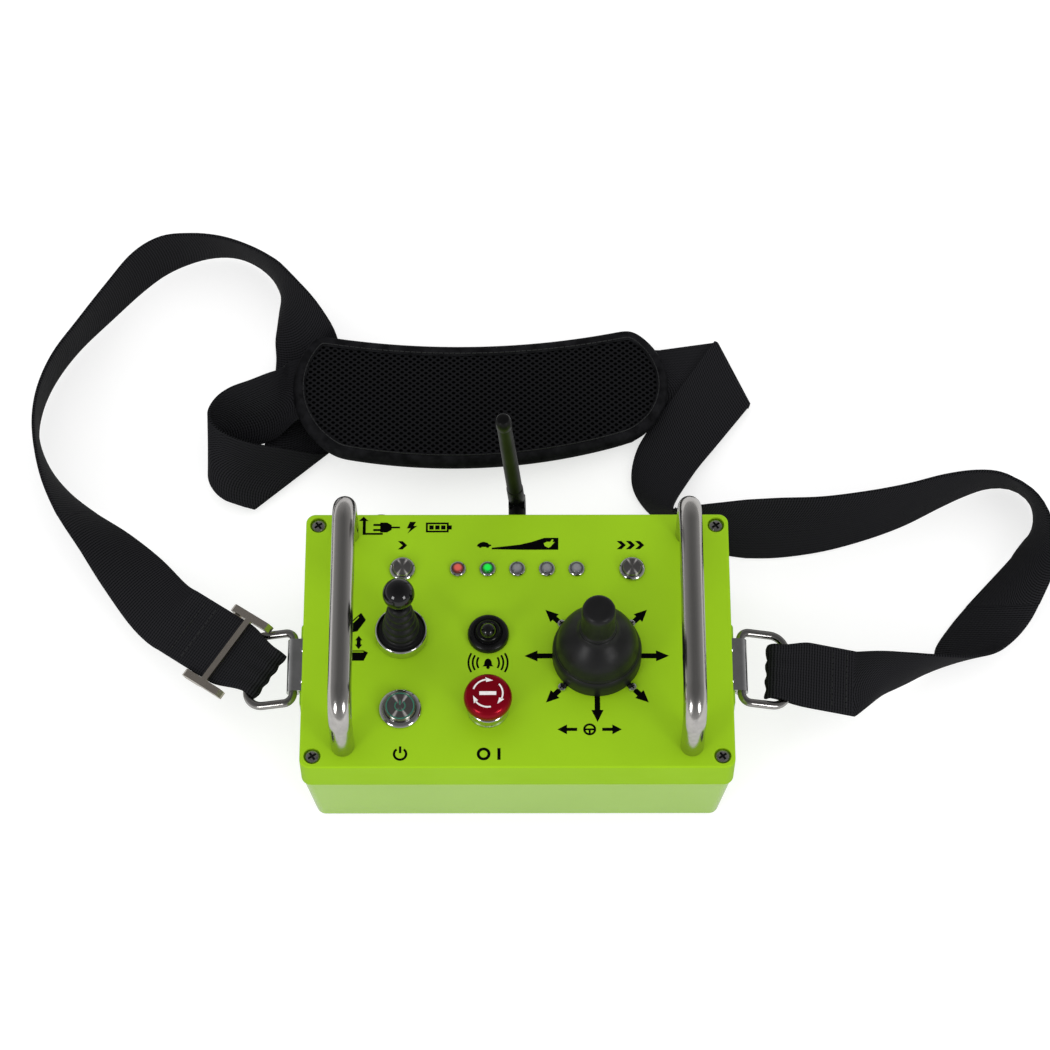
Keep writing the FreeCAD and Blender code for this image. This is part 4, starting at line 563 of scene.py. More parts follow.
def cross_head(x, y, seat, radius, height):
    """Pan-head screw with a cross recess, standing on a seat."""
    bm = turned([(0, seat), (radius, seat), (radius, seat + height * 0.45), (radius * 0.86, seat + height * 0.78),
                 (radius * 0.55, seat + height), (0, seat + height)], x, y, 32)
    solid = piece("screw_blank", bm, "screw_steel", None)
    arm, wide = radius * 0.62, radius * 0.15
    crown = seat + height
    arms = []
    for turn in (35, 125):
        slot = block((-arm, -wide, crown - height * 0.5), (arm, wide, crown + height))
        place = Matrix.Translation((x * MM, y * MM, 0)) @ Matrix.Rotation(math.radians(turn), 4, "Z")
        arms.append(moved(slot, place))
    cutters = [piece("screw_cut_%d" % index, arm_mesh, "screw_steel", None)
               for index, arm_mesh in enumerate(arms)]
    for cutter in cutters:
        with_modifier(solid, "BOOLEAN", object=cutter, operation="DIFFERENCE", solver="EXACT")
    bpy.context.view_layer.update()
    cut = bpy.data.meshes.new_from_object(solid.evaluated_get(bpy.context.evaluated_depsgraph_get()))
    made = bmesh.new()
    made.from_mesh(cut)
    for spare in [solid] + cutters:
        mesh = spare.data
        bpy.data.objects.remove(spare)
        bpy.data.meshes.remove(mesh)
    bpy.data.meshes.remove(cut)
    # Faces inside the cross recess get the second material: a painted shade
    for face in made.faces:
        place = face.calc_center_median() - Vector((x, y, crown)) * MM
        sunk = abs(face.normal.z) < 0.1 or place.z < -0.3 * height * MM
        if sunk and face.normal.z > -0.1 and place.xy.length < radius * 0.7 * MM:
            face.material_index = 1
    return made


def screw_heads(name, heads, steel, node):
    """Screws with dark recesses, from their heads."""
    made = piece(name, joined(heads), steel, "enclosure", [node], crease=30)
    made.data.materials.append(bpy.data.materials["recess_painted_shade"])


def build_box():
    """Paint on the lid and base, seal, and cross-head screws in the lid's corners."""
    dress("lid_paint", "lid")
    dress("base_paint", "base_housing")
    dress("rubber", "lid_gasket")
    low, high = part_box("lid_screws")
    seat, head_r, head = TOP - 2.7, 3.8, 2.4
    x, y, foot, shank_r = high.x / MM - head_r, high.y / MM - head_r, low.z / MM, 2
    corners = [(sx * x, sy * y) for sx in (-1, 1) for sy in (-1, 1)]
    heads = [cross_head(*corner, seat, head_r, head) for corner in corners]
    shanks = [turned([(0, foot), (shank_r, foot), (shank_r, seat), (0, seat)], *corner, 24) for corner in corners]
    screw_heads("lid_screw_heads", heads + shanks, "screw_steel", "lid_screws")


def build_handles():
    """Polished round-bar handles bent to a U."""
    for side in ("left", "right"):
        low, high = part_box(side + "_handle")
        x = (low.x + high.x) / 2 / MM
        radius = (high.x - low.x) / 2 / MM
        bend = 15.0
        near, far = low.y / MM + radius, high.y / MM - radius
        foot, axis = low.z / MM, high.z / MM - radius
        bm = bent_bar(radius, ((x, near, foot), (0, 0, 1)), [
            ("run", (0, 0, axis - bend - foot)),
            ("bend", (x, near + bend, axis - bend), (1, 0, 0), -90),
            ("run", (0, far - near - 2 * bend, 0)),
            ("bend", (x, far - bend, axis - bend), (1, 0, 0), -90),
            ("run", (0, 0, foot - axis + bend))], 48)
        piece(side + "_grip", bm, "polished_steel", "enclosure", [side + "_handle"])


def build_tilt_lever():
    """Tilt lever: chrome bezel, rubber bellows that follows the lever, and a gloss ball knob."""
    x, y = middle("tilt_bezel")[:2]
    rim = top_of("tilt_bezel")
    bezel = turned([(12.2, TOP), (13.7, TOP), (13.7, rim - 1.7), (13.5, rim - 0.7), (13.0, rim - 0.1), (12.6, rim),
                    (12.3, rim - 0.3), (12.2, rim - 1.0)], x, y, 96, closed=True)
    piece("tilt_ring", eased(bezel, 0.25), "chrome", "enclosure", ["tilt_bezel"])
    low, high = rim - 3.9, top_of("tilt_boot")
    outer = [(12.1, low), (12.1, rim - 1.5), (11.9, rim - 1.2), (10.2, rim - 1.4), (9.8, rim - 0.4), (9.7, rim + 0.7)]
    rings = 5
    pitch = (high - rim - 0.7) / rings
    for ring in range(rings):
        radius = 9.8 - 3.6 * ring / (rings - 1)
        base = rim + 0.7 + pitch * ring
        outer += [(radius - 1.3, base + pitch * 0.14), (radius - 0.1, base + pitch * 0.34),
                  (radius - 0.15, base + pitch * 0.72), (radius - 1.5, base + pitch * 0.97)]
    inner = [(3.35, high), (3.35, high - 3), (6.4, rim + 4), (8.4, low)]
    boot = turned(outer + inner, x, y, 64, closed=True)
    made = piece("tilt_bellows", boot, "rubber", None, ["tilt_boot"], crease=180)
    with_modifier(made, "SUBSURF", levels=2, render_levels=2)
    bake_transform(made)
    knob_low, knob_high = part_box("tilt_knob")
    radius = (knob_high.x - knob_low.x) / 2 / MM
    centre = knob_high.z / MM - radius
    profile = ball_points(radius, centre, 7, 22) + [(3.9, high + 1.4), (3.7, high + 0.3), (0, high + 0.3)]
    piece("tilt_ball", turned(profile, x, y, 72), "gloss_black", "tilt_lever", ["tilt_knob"], crease=50)
    dress("machined_metal", "tilt_rod", "tilt_pin")
    dress("switch_plastic", "tilt_body")


def build_alarm_toggle():
    """Alarm toggle: dished black bezel, bush, and a ball-ended lever."""
    x, y = middle("alarm_bezel")[:2]
    rim, bush = TOP + 4.0, TOP + 6.0
    bezel = turned([(4.3, TOP - 2), (6, TOP - 2), (6, TOP), (10.7, TOP), (10.7, rim - 2.2), (10.2, rim - 0.9),
                    (9.0, rim - 0.05), (7.6, rim - 0.15), (6.9, rim - 0.9), (6.3, rim - 0.9), (6.2, bush - 0.6),
                    (5.7, bush), (4.7, bush), (4.3, bush - 0.4)], x, y, 96, closed=True)
    piece("alarm_cup", eased(bezel, 0.2), "satin_black", "enclosure", ["alarm_bezel"])
    pivot, tip = TOP + 2.0, TOP + 16.5
    profile = ball_points(3.9, tip, 10, 15)
    profile += [(2.7, tip - 5), (2.4, pivot + 4), (3.6, pivot + 1.4), (3.9, pivot), (3.4, pivot - 2), (0, pivot - 3)]
    lever = turned(profile, 0, 0, 48)
    lean = Matrix.Rotation(math.radians(20), 4, "X")
    moved(lever, Matrix.Translation((x * MM, y * MM, pivot * MM)) @ lean @ Matrix.Translation((0, 0, -pivot * MM)))
    piece("alarm_stick", lever, "gloss_black", "alarm_lever", ["alarm_lever"], crease=60)
    dress("switch_plastic", "alarm_body")


def build_steering():
    """Steering joystick: rubber collar, dome that follows the stick, knob and mounting screws."""
    x, y = middle("steering_collar")[:2]
    rim = top_of("steering_collar")
    collar = turned([(19, TOP), (23, TOP), (23, rim - 3.6), (22.8, rim - 2.6), (22.0, rim - 0.5), (21.5, rim),
                     (19, rim)], x, y, 96, closed=True)
    piece("steering_skirt", eased(collar, 0.3), "rubber", "enclosure", ["steering_collar"])
    low, high = rim, top_of("steering_dome")
    rise = high - low
    outer = [(21.3, low + 0.05), (21.6, low + 0.5), (21.6, low + 1.0), (21.2, low + 1.5), (21.0, low + 2.4),
             (20.6, low + rise * 0.24), (19.5, low + rise * 0.40), (17.6, low + rise * 0.56),
             (14.9, low + rise * 0.71), (11.9, low + rise * 0.83), (10.2, low + rise * 0.91),
             (9.9, low + rise * 0.96), (9.3, high)]
    inner = [(4.4, high), (4.4, low + rise * 0.92), (7.5, low + rise * 0.88), (10.4, low + rise * 0.81),
             (13.4, low + rise * 0.69), (16.2, low + rise * 0.54), (18.2, low + rise * 0.38),
             (19.1, low + rise * 0.22), (19.6, low + 0.05)]
    dome = turned(outer + inner, x, y, 96, closed=True)
    split = low + rise * 0.36
    for name, clear, first, second, span in (
            ("steering_dome_low", "outer", "enclosure", "steering_yoke", (low + 1.5, split)),
            ("steering_dome_high", "inner", "steering_yoke", "steering_stick", (split, low + rise * 0.8))):
        half = dome.copy()
        bmesh.ops.bisect_plane(half, geom=half.verts[:] + half.edges[:] + half.faces[:], dist=CLOSE_POINTS,
                               plane_co=(0, 0, split * MM), plane_no=(0, 0, 1), clear_outer=clear == "outer",
                               clear_inner=clear == "inner")
        made = piece(name, half, "rubber", None, ["steering_dome"], crease=60)
        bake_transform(made)
    dome.free()
    knob_low, knob_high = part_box("steering_knob")
    foot, crown = knob_low.z / MM, knob_high.z / MM
    knob = turned([(0, foot), (9.0, foot), (9.5, foot + 0.4), (9.5, foot + 1.0), (9.0, foot + 1.5), (8.5, foot + 1.8),
                   (8.4, foot + 10), (8.7, crown - 6), (8.6, crown - 3.4), (8.0, crown - 1.6), (6.6, crown - 0.5),
                   (4, crown - 0.05), (0, crown)], x, y, 72)
    made = piece("steering_grip", knob, "rubber", "steering_stick", ["steering_knob"], crease=60)
    with_modifier(made, "SUBSURF", levels=1, render_levels=1)
    out = 18
    heads = [cross_head(x + dx * out, y + dy * out, TOP, 2.4, 1.8) for dx in (-1, 1) for dy in (-1, 1)]
    screw_heads("steering_screw_heads", heads, "chrome", "steering_screws")
    dress("switch_plastic", "steering_body", "steering_sensor_x", "steering_sensor_y")
    dress("machined_metal", "steering_yoke", "steering_shaft")


def cap_with_map(profile, x, y):
    """Turned cap whose map holds the angle and the radius for its tool marks."""
    bm = turned(profile, x, y, 96)
    layer = bm.loops.layers.uv.new("turning")
    for face in bm.faces:
        middle_of_face = face.calc_center_median()
        base = math.atan2(middle_of_face.y - y * MM, middle_of_face.x - x * MM)
        for loop in face.loops:
            dx, dy = loop.vert.co.x - x * MM, loop.vert.co.y - y * MM
            radius = math.hypot(dx, dy)
            angle = math.atan2(dy, dx) if radius > CLOSE_POINTS else base
            angle += math.tau * round((base - angle) / math.tau)
            loop[layer].uv = (angle / math.tau, radius)
    return bm


def power_sign(x, y, radius, line, low, high):
    """Open ring with an upright bar."""
    band = arc_band(x, y, radius - line, radius, 125, 290, low, high)
    stem = prism(bar(x - line / 2, y + radius * 0.15, x + line / 2, y + radius * 1.15), low, high)
    return joined([band, stem])


def build_push_buttons():
    """Speed buttons and the lit power button: chrome flanges, turned caps and the lit ring."""
    for name in ("slow", "fast"):
        x, y = middle(name + "_button_body")[:2]
        flange = turned([(5.05, TOP - 4), (6, TOP - 4), (6, TOP), (6.9, TOP), (6.9, TOP + 0.8), (6.5, TOP + 1.5),
                         (5.7, TOP + 2), (5.3, TOP + 2), (5.05, TOP + 1.7)], x, y, 72, closed=True)
        piece(name + "_flange", eased(flange, 0.15), "chrome", "enclosure", [name + "_button_body"])
        crown = top_of(name + "_button_cap")
        cap = cap_with_map([(0, crown - 9), (5, crown - 9), (5, crown - 0.6), (4.8, crown - 0.2), (4.4, crown),
                            (3.6, crown - 0.05), (2.4, crown - 0.12), (1.2, crown - 0.17), (0, crown - 0.18)], x, y)
        piece(name + "_cap", cap, "turned_steel_painted_glints", name + "_cap", [name + "_button_cap"], crease=30)
    x, y = middle("power_button_body")[:2]
    flange = turned([(8.05, TOP - 4), (9.5, TOP - 4), (9.5, TOP), (11, TOP), (11, TOP + 0.9), (10.4, TOP + 1.7),
                     (9.2, TOP + 2.2), (8.5, TOP + 2.2), (8.05, TOP + 1.8)], x, y, 96, closed=True)
    piece("power_flange", eased(flange, 0.2), "chrome", "enclosure", ["power_button_body"])
    crown = top_of("power_button_cap")
    cap = cap_with_map([(0, crown - 9), (8, crown - 9), (8, crown - 0.6), (7.85, crown - 0.2), (7.6, crown),
                        (7.45, crown), (7.4, crown - 0.15), (6.75, crown - 0.15), (6.7, crown), (4, crown - 0.06),
                        (2, crown - 0.1), (0, crown - 0.1)], x, y)
    piece("power_cap", cap, "turned_steel_painted_glints", "power_cap", ["power_button_cap"], crease=30)
    ring = turned([(6.77, crown - 0.14), (7.38, crown - 0.14), (7.36, crown - 0.02), (7.08, crown + 0.02),
                   (6.8, crown - 0.02)], x, y, 96, closed=True)
    piece("power_lit_ring", ring, "lit_ring", "power_cap", ["power_button_ring"], crease=60)
    sign = power_sign(x, y, 2.9, 0.5, crown - 0.09, crown)
    piece("power_lit_sign", sign, "lit_ring", "power_cap")


def build_stop_button():
    """Stop button: chrome collar, stem and red mushroom head with a bar and three turning arrows."""
    x, y = middle("stop_collar")[:2]
    collar = turned([(5.1, TOP - 4), (8, TOP - 4), (8, TOP), (10.7, TOP), (10.7, TOP + 1.0), (10.2, TOP + 1.7),
                     (9.9, TOP + 2.4), (9.9, TOP + 5.0), (9.3, TOP + 5.6), (5.1, TOP + 5.6)], x, y, 96, closed=True)
    piece("stop_ring", eased(collar, 0.25), "chrome", "enclosure", ["stop_collar"])
    dress("machined_metal", "stop_stem")
    dress("switch_plastic", "stop_contact_block")
    low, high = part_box("stop_head")
    under, crown = low.z / MM, high.z / MM
    head = turned([(0, under + 0.4), (4.2, under + 0.4), (4.2, under), (8.4, under), (10.6, under + 0.5),
                   (11.7, under + 1.8), (12.3, under + 3.4), (12.4, under + 4.6), (12.25, under + 5.8),
                   (11.7, crown - 2.3), (10.6, crown - 1.1), (9.2, crown - 0.45), (7, crown - 0.12),
                   (4, crown - 0.03), (0, crown)], x, y, 96)
    piece("stop_mushroom", head, "stop_anodised", "stop_head", ["stop_head"], crease=50)
    arrows, sunk, face = [], crown - 0.35, crown + 0.02
    for turn in (162, 42, -78):
        arrows.append(arc_band(x, y, 7.2, 8.0, turn, -66, sunk, face, 24))
        end, tip = math.radians(turn - 64), math.radians(turn - 92)
        outline = [(x + r * math.cos(a), y + r * math.sin(a)) for r, a in ((6.3, end), (8.9, end), (7.6, tip))]
        arrows.append(prism(outline, sunk, face))
    arrows.append(prism(bar(x - 4.3, y - 1.0, x + 4.3, y + 1.0), crown - 0.1, face))
    piece("stop_arrows", joined(arrows), "stop_print", "stop_head")


def build_lamps():
    """Row of lamps: chrome bezels with domed lenses, two of them lit."""
    y = middle("lamp_bezels").y
    low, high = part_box("lamp_bezels")
    count, flange = 5, 4.4
    first, last = low.x / MM + flange, high.x / MM - flange
    places = [first + (last - first) * index / (count - 1) for index in range(count)]

    def bezel(x):
        ring = turned([(2.95, TOP - 3), (3.9, TOP - 3), (3.9, TOP), (flange, TOP), (flange, TOP + 0.7),
                       (4.0, TOP + 1.3), (3.5, TOP + 1.6), (3.15, TOP + 1.6), (2.95, TOP + 1.3)],
                      x, y, 48, closed=True)
        return eased(ring, 0.12)

    def dome(x):
        return turned([(0, TOP - 3), (2.9, TOP - 3), (2.9, TOP + 1.1), (2.75, TOP + 1.7), (2.3, TOP + 2.2),
                       (1.5, TOP + 2.5), (0.7, TOP + 2.6), (0, TOP + 2.6)], x, y, 40)

    piece("lamp_rings", joined([bezel(x) for x in places]), "chrome", "enclosure", ["lamp_bezels"])
    red, green, *clear = (dome(x) for x in places)
    piece("lamp_red", red, "lamp_red_plastic", "enclosure", ["lamp_lens_red"], crease=60)
    piece("lamp_green", green, "lamp_green_plastic", "enclosure", ["lamp_lens_green"], crease=60)
    piece("lamps_clear", joined(clear), "lamp_clear_plastic_painted_glint", "enclosure", ["lamp_lenses_clear"],
          crease=60)


def build_rear_fittings():
    """Antenna whip and the fittings on the rear wall."""
    lean = math.radians(-4.5)
    y, pivot, foot, tip = 85.55, 63.0, 67.9, 156.0
    whip = turned([(0, foot), (4.4, foot), (4.4, foot + 12), (4.1, foot + 12.4), (3.9, tip - 9), (4.15, tip - 8.6),
                   (4.2, tip - 4.4), (3.9, tip - 2.2), (3.1, tip - 0.8), (1.7, tip - 0.15), (0, tip)], 0, y, 56)
    eye = eased(block((-1.8, y - 3.5, pivot + 0.5), (1.8, y + 3.5, foot + 0.5)), 0.4)
    both = joined([eased(whip, 0.2), eye])
    root = Matrix.Translation((0, y * MM, pivot * MM))
    moved(both, root @ Matrix.Rotation(lean, 4, "Y") @ root.inverted())
    piece("antenna_rod", both, "antenna_black", "antenna_whip", ["antenna_whip"], crease=40)
    dress("antenna_black", "antenna_elbow")
    dress("chrome", "antenna_socket", "charge_socket")


# Rings of the strap: the hinge's distance from the middle and its height, the wire's size, and the droop at rest
RING_X, RING_Z = 117.61, 40.14
RING_WIDTH, RING_DEPTH, RING_WIRE = 40.5, 25.67, 2.2
DROOP = math.radians(16)


def build_strap_hardware():
    """Strap brackets with their screws, wire rings and the slider."""
    dress("nickel", "strap_slider")
    dress("chrome", "left_strap_bracket", "right_strap_bracket", "bracket_screws")
    wide, deep, near, far = RING_WIDTH, RING_DEPTH, 5.0, 9.0
    half = wide / 2
    for side, sign in (("left", -1), ("right", 1)):
        bm = bent_bar(RING_WIRE, ((near, -half, 0), (-1, 0, 0)), [
            ("bend", (near, near - half, 0), (0, 0, 1), -90),
            ("run", (0, wide - 2 * near, 0)),
            ("bend", (near, half - near, 0), (0, 0, 1), -90),
            ("run", (deep - near - far, 0, 0)),
            ("bend", (deep - far, half - far, 0), (0, 0, 1), -90),
            ("run", (0, 2 * far - wide, 0)),
            ("bend", (deep - far, far - half, 0), (0, 0, 1), -90),
            ("run", (near + far - deep, 0, 0))], 28)
        place = Matrix.Translation((RING_X * MM, 0, RING_Z * MM)) @ Matrix.Rotation(DROOP, 4, "Y")
        if sign < 0:
            place = Matrix.Diagonal((-1, 1, 1, 1)) @ place
        moved(bm, place)
        piece(side + "_wire_ring", bm, "ring_steel", side + "_ring", [side + "_ring"])


# Strap

# The strap as it lies, in millimetres. A route's stations hold the middle of the webbing and its lean in degrees,
# and a twist's or bend's pairs hold the two edges of the webbing.
LEFT_ROUTE = [
    (-193.5, 46.9, 20.5, 1), (-207, 65.2, 17.5, 15), (-221.7, 83.4, 15.8, 33), (-240.1, 102.6, 16.8, 53),
    (-252.2, 118.9, 18.5, 69), (-261.3, 138.1, 19.8, 84), (-265.4, 156.3, 20, 93), (-263.9, 174.4, 20, 96),
    (-257.3, 193.6, 20, 97), (-245.2, 213.8, 20, 97), (-229, 236, 20, 91), (-213.9, 255.2, 20, 86),
    (-199.8, 266.3, 20, 89), (-183.6, 271.3, 20, 98), (-169.5, 272.3, 20, 104), (-157.4, 269.8, 20, 106),
    (-145.5, 263.2, 20, 103), (-136.4, 254.2, 20, 95), (-129.8, 242.6, 19.6, 80), (-122.5, 225.5, 15.2, 50),
    (-117.6, 210.5, 8, 22), (-117.2, 193.5, 3.6, 6), (-118.6, 178, 2.4, 0),
]
LEFT_TWIST = [
    ((-140, 158, 1.8), (-101.8, 167, 2.6)), ((-141.6, 136, 1.5), (-102.4, 157, 2.8)),
    ((-143.4, 118, 1.8), (-103.6, 150.6, 3.4)), ((-145, 113.2, 3.2), (-105.8, 147.2, 5)),
    ((-148, 113, 4.6), (-111, 144.9, 8.4)), ((-152, 113.9, 5.4), (-119, 143.8, 13)),
    ((-156.5, 115.2, 6), (-131, 142.2, 20.5)), ((-161, 117, 6.8), (-144, 140.8, 27.5)),
    ((-165.3, 120.6, 7.6), (-156, 142.2, 33)), ((-168.6, 126, 8), (-164, 145.6, 36.6)),
    ((-170, 132.6, 7.6), (-168, 150.6, 38)), ((-168.6, 139.6, 6.4), (-168.4, 157.4, 37)),
    ((-163.4, 146.6, 4.6), (-164.4, 166.6, 34.4)), ((-154, 151, 3.6), (-157.4, 174, 31.8)),
    ((-142, 153.4, 4), (-147.5, 180, 29)), ((-134, 156, 5.4), (-138.5, 186.4, 25.4)),
    ((-127.6, 159.6, 9), (-131, 192.2, 21)), ((-121.6, 162.6, 14.4), (-125, 198.6, 18.4)),
]
PAD_ROUTE = [
    (-109, 183.5), (-70.6, 175.4), (-20.2, 170.4), (30.3, 177.4), (53.5, 188.5),
    (67.6, 193.5), (80.7, 194.5),
]
RIGHT_BEND = [
    ((97.6, 197.4, 4.9), (120.2, 164.3, 4.9)), ((84.3, 177.8, 4.9), (110.4, 151.2, 5.2)),
    ((71.7, 159, 4.8), (100.4, 137.5, 6.5)), ((65.9, 146.9, 4.4), (93.7, 125.3, 11)),
    ((63.5, 133.8, 3.6), (87.8, 112.2, 19)), ((65.3, 123.1, 2.6), (84.8, 102.3, 27)),
    ((72.1, 112.4, 1.7), (85.2, 96.7, 33.5)), ((82.9, 103.3, 1.2), (90.6, 95.8, 37)),
    ((95.9, 94.8, 1), (99.7, 96.7, 38)), ((108.3, 87.4, 1), (110.6, 98.7, 37)),
]
RIGHT_ROUTE = [
    (125, 92.9, 17.8, 62), (142.3, 93.7, 17.5, 60), (166.5, 95.7, 18.3, 67), (191.7, 100.8, 19.2, 75),
    (211.9, 106.8, 19.6, 82), (232.1, 114.9, 19.8, 90), (248.2, 120, 19.7, 98), (262.3, 122, 19.2, 106),
    (273.4, 118.9, 19, 110), (280.5, 109.9, 19.4, 104), (283.5, 94.7, 19.5, 82), (281.5, 77.6, 16, 52),
]
RIGHT_TWIST = [
    ((243.8, 53, 1.2), (280.7, 46.7, 19)), ((232.7, 39.2, 1.2), (272.6, 33.9, 16)),
    ((226.1, 29, 1.4), (263.3, 24.2, 16.5)), ((224, 21, 1.8), (254.2, 16.6, 22)),
    ((219.3, 14.5, 2.4), (242.1, 10.3, 31)), ((211.4, 9.1, 3.2), (229.1, 7.9, 36.5)),
    ((202.9, 3.9, 5), (217.8, 7.6, 38.5)), ((194.2, -2.1, 8.5), (206.9, 9.2, 37.5)),
    ((185.6, -12.6, 17.5), (194, 13, 32)),
]
# Ends of the fold beside the pad
FOLD_REAR = Vector((111.4, 218.4, 0))
FOLD_FRONT = Vector((129.4, 176.6, 0))
# Half the distance between a loop's two layers, and the strap's depth below the pad's underside
LAYER = 3.3
UNDER_PAD = 1.1
# How far a loop's upper layer reaches from the ring's outer wire
LEFT_REACH, RIGHT_REACH = 46.0, 36.0
# Points across the webbing, length of a step along it, and steps between two pairs of edge points
COLUMNS = 13
STEP = 3.5
PARTS = 5
# The pad's slope: left end, height there, and its fall over its length
PAD_END = Vector((-124.6, 177.5, 0))
PAD_HIGH, PAD_FALL, PAD_LENGTH = 20.0, 16.0, 205.3


def pad_height(x):
    """Height of the pad's underside at one x, in millimetres."""
    return PAD_HIGH - PAD_FALL * (x - PAD_END.x) / PAD_LENGTH


def loop_axes(sign, y, heading):
    """Origin on the ring's outer wire and the along, left and up directions of a webbing loop."""
    turn = math.radians(heading)
    outward = Vector((sign * math.cos(DROOP), 0, -math.sin(DROOP)))
    up = Vector((sign * math.sin(DROOP), 0, math.cos(DROOP)))
    along = outward * math.cos(turn) + Vector((0, math.sin(turn), 0))
    origin = Vector((sign * RING_X, y, RING_Z)) + outward * RING_DEPTH
    return origin, along, up.cross(along), up


def eased_share(value, low, high):
    """Smooth step between two values."""
    share = min(max((value - low) / (high - low), 0), 1)
    return share * share * (3 - 2 * share)


def smooth_route(stations):
    """Even samples of a smooth line through (place, lean) stations."""
    samples = []
    for index in range(len(stations) - 1):
        ends = [stations[min(max(index + shift, 0), len(stations) - 1)] for shift in (-1, 0, 1, 2)]
        points = [Vector((*place, lean)) for place, lean in ends]
        count = max(2, round((points[2].xyz - points[1].xyz).length / STEP))
        for part in range(count):
            place = curve_point(*points, part / count)
            samples.append((place.xyz, place.w))
    samples.append((Vector(stations[-1][0]), stations[-1][1]))
    return samples


def webbing_rows(samples):
    """Rows of points across the webbing, a little domed, at each sample of its route."""
    width, rise = looks().sizes.webbing_width / MM, 0.25
    rows = []
    for index, (place, lean) in enumerate(samples):
        before, after = samples[max(index - 1, 0)][0], samples[min(index + 1, len(samples) - 1)][0]
        along = (after - before).normalized()
        left = Vector((0, 0, 1)).cross(along).normalized()
        up = along.cross(left)
        turn = math.radians(lean)
        across = left * math.cos(turn) + up * math.sin(turn)
        face = up * math.cos(turn) - left * math.sin(turn)
        row = []
        for column in range(COLUMNS):
            share = 2 * column / (COLUMNS - 1) - 1
            row.append(place + across * (share * width / 2) + face * (rise * (1 - share * share)))
        rows.append(row)
    return rows


def curve_point(a, b, c, d, t):
    """Point between b and c on the smooth line through four points."""
    return 0.5 * (2 * b + (c - a) * t + (2 * a - 5 * b + 4 * c - d) * t ** 2 + (3 * b - a - 3 * c + d) * t ** 3)


def twist_rows(before, pairs, after):
    """Rows between pairs of edge points, running on from the rows before them to the rows after them."""
    edges = [(row[0], row[-1]) for row in before[-4::3]] + [(Vector(low), Vector(high)) for low, high in pairs]
    edges += [(row[0], row[-1]) for row in after[:4:3]]
    rows = []
    for index in range(1, len(edges) - 2):
        for part in range(PARTS):
            low, high = (curve_point(*(edges[index + shift][side] for shift in (-1, 0, 1, 2)), part / PARTS)
                         for side in (0, 1))
            rows.append([low.lerp(high, column / (COLUMNS - 1)) for column in range(COLUMNS)])
    return rows[1:]


def strip(rows, straight=False):
    """Sheet through rows of points in millimetres, with a weave map in metres along and across it."""
    columns = len(rows[0])
    bm = bmesh.new()
    bmesh.ops.create_grid(bm, x_segments=columns - 1, y_segments=len(rows) - 1, size=1.0)
    order = sorted(bm.verts, key=lambda vert: (round(vert.co.y, 5), round(vert.co.x, 5)))
    if len(order) != columns * len(rows):
        raise RuntimeError("the webbing grid has %d points, not %d" % (len(order), columns * len(rows)))
    length = [[0.0] * columns]
    for before, after in zip(rows, rows[1:]):
        steps = [(b - a).length for a, b in zip(before, after)]
        if straight:
            steps = [sum(steps) / columns] * columns
        length.append([run + step for run, step in zip(length[-1], steps)])
    width = looks().sizes.webbing_width
    place = {}
    for index, vert in enumerate(order):
        row, column = divmod(index, columns)
        vert.co = rows[row][column] * MM
        place[vert] = (length[row][column] * MM, width * column / (columns - 1))
    layer = bm.loops.layers.uv.new("weave")
    for face in bm.faces:
        for loop in face.loops:
            loop[layer].uv = place[loop.vert]
    return bm, length[-1][columns // 2] * MM


def webbing(name, rows, body, stands_for, rests_on, held="laid"):
    """Webbing piece with its thickness, declared as a sheet."""
    bm, length = strip(rows, held == "folded")
    made = piece(name, bm, "webbing", body, stands_for, crease=180)
    sizes = looks().sizes
    with_modifier(made, "SOLIDIFY", thickness=sizes.webbing_thickness, offset=0.0, use_even_offset=True)
    with_modifier(made, "BEVEL", width=sizes.webbing_edge, segments=2, limit_method="ANGLE",
                  angle_limit=math.radians(50))
    return made


def loop_rows(axes, reach, tail, fold):
    """Rows of a loop: under the ring's wire, round the gathered fold and back over it."""
    origin, along, left, up = axes
    back, low_edge, high_edge = fold
    half, opened, tucked = 19, 12, 3.4
    pleats, phase, swell, lift = 3.5, 0.8, 1.2, 0.7
    columns, under, round_fold, over = 25, 16, 12, 24
    path = [(tail + (-back - tail) * step / under, -LAYER) for step in range(under + 1)]
    for step in range(1, round_fold):
        turn = math.pi * step / round_fold
        path.append((-back - LAYER * math.sin(turn), -LAYER * math.cos(turn)))
    path += [(-back + (reach + back) * step / over, LAYER) for step in range(over + 1)]
    rows = []
    for x, z in path:
        open_share = eased_share(x, -back, opened)
        tuck = tucked * max(-z / LAYER, 0)
        low = low_edge + (-half - low_edge) * open_share + tuck
        high = high_edge + (half - high_edge) * open_share - tuck
        side = 1 if z > 0 else -1
        row = []
        for column in range(columns):
            share = column / (columns - 1)
            pleat = (1 - open_share) * (0.5 + 0.5 * math.sin(share * math.tau * pleats + phase))
            row.append(origin + along * (x - swell * pleat * (1 - abs(z) / LAYER))
                       + left * (low + (high - low) * share) + up * (z + side * lift * pleat * abs(z) / LAYER))
        rows.append(row)
    return rows


def stitch_line(bm, start, end, up, lift, count=None):
    """Row of sewn stitches between two points, lying on a surface."""
    stitch, thread = looks().sizes.stitch, 0.32 * MM
    run = end - start
    count = count or max(2, round(run.length / (stitch / MM * 1.35)))
    turn = Vector((0, 0, 1)).rotation_difference(run.normalized()).to_matrix().to_4x4()
    for index in range(count):
        place = start + run * (index + 0.5) / count + up * lift
        bmesh.ops.create_cone(bm, cap_ends=True, segments=8, radius1=thread, radius2=thread, depth=stitch,
                              matrix=Matrix.Translation(place * MM) @ turn)


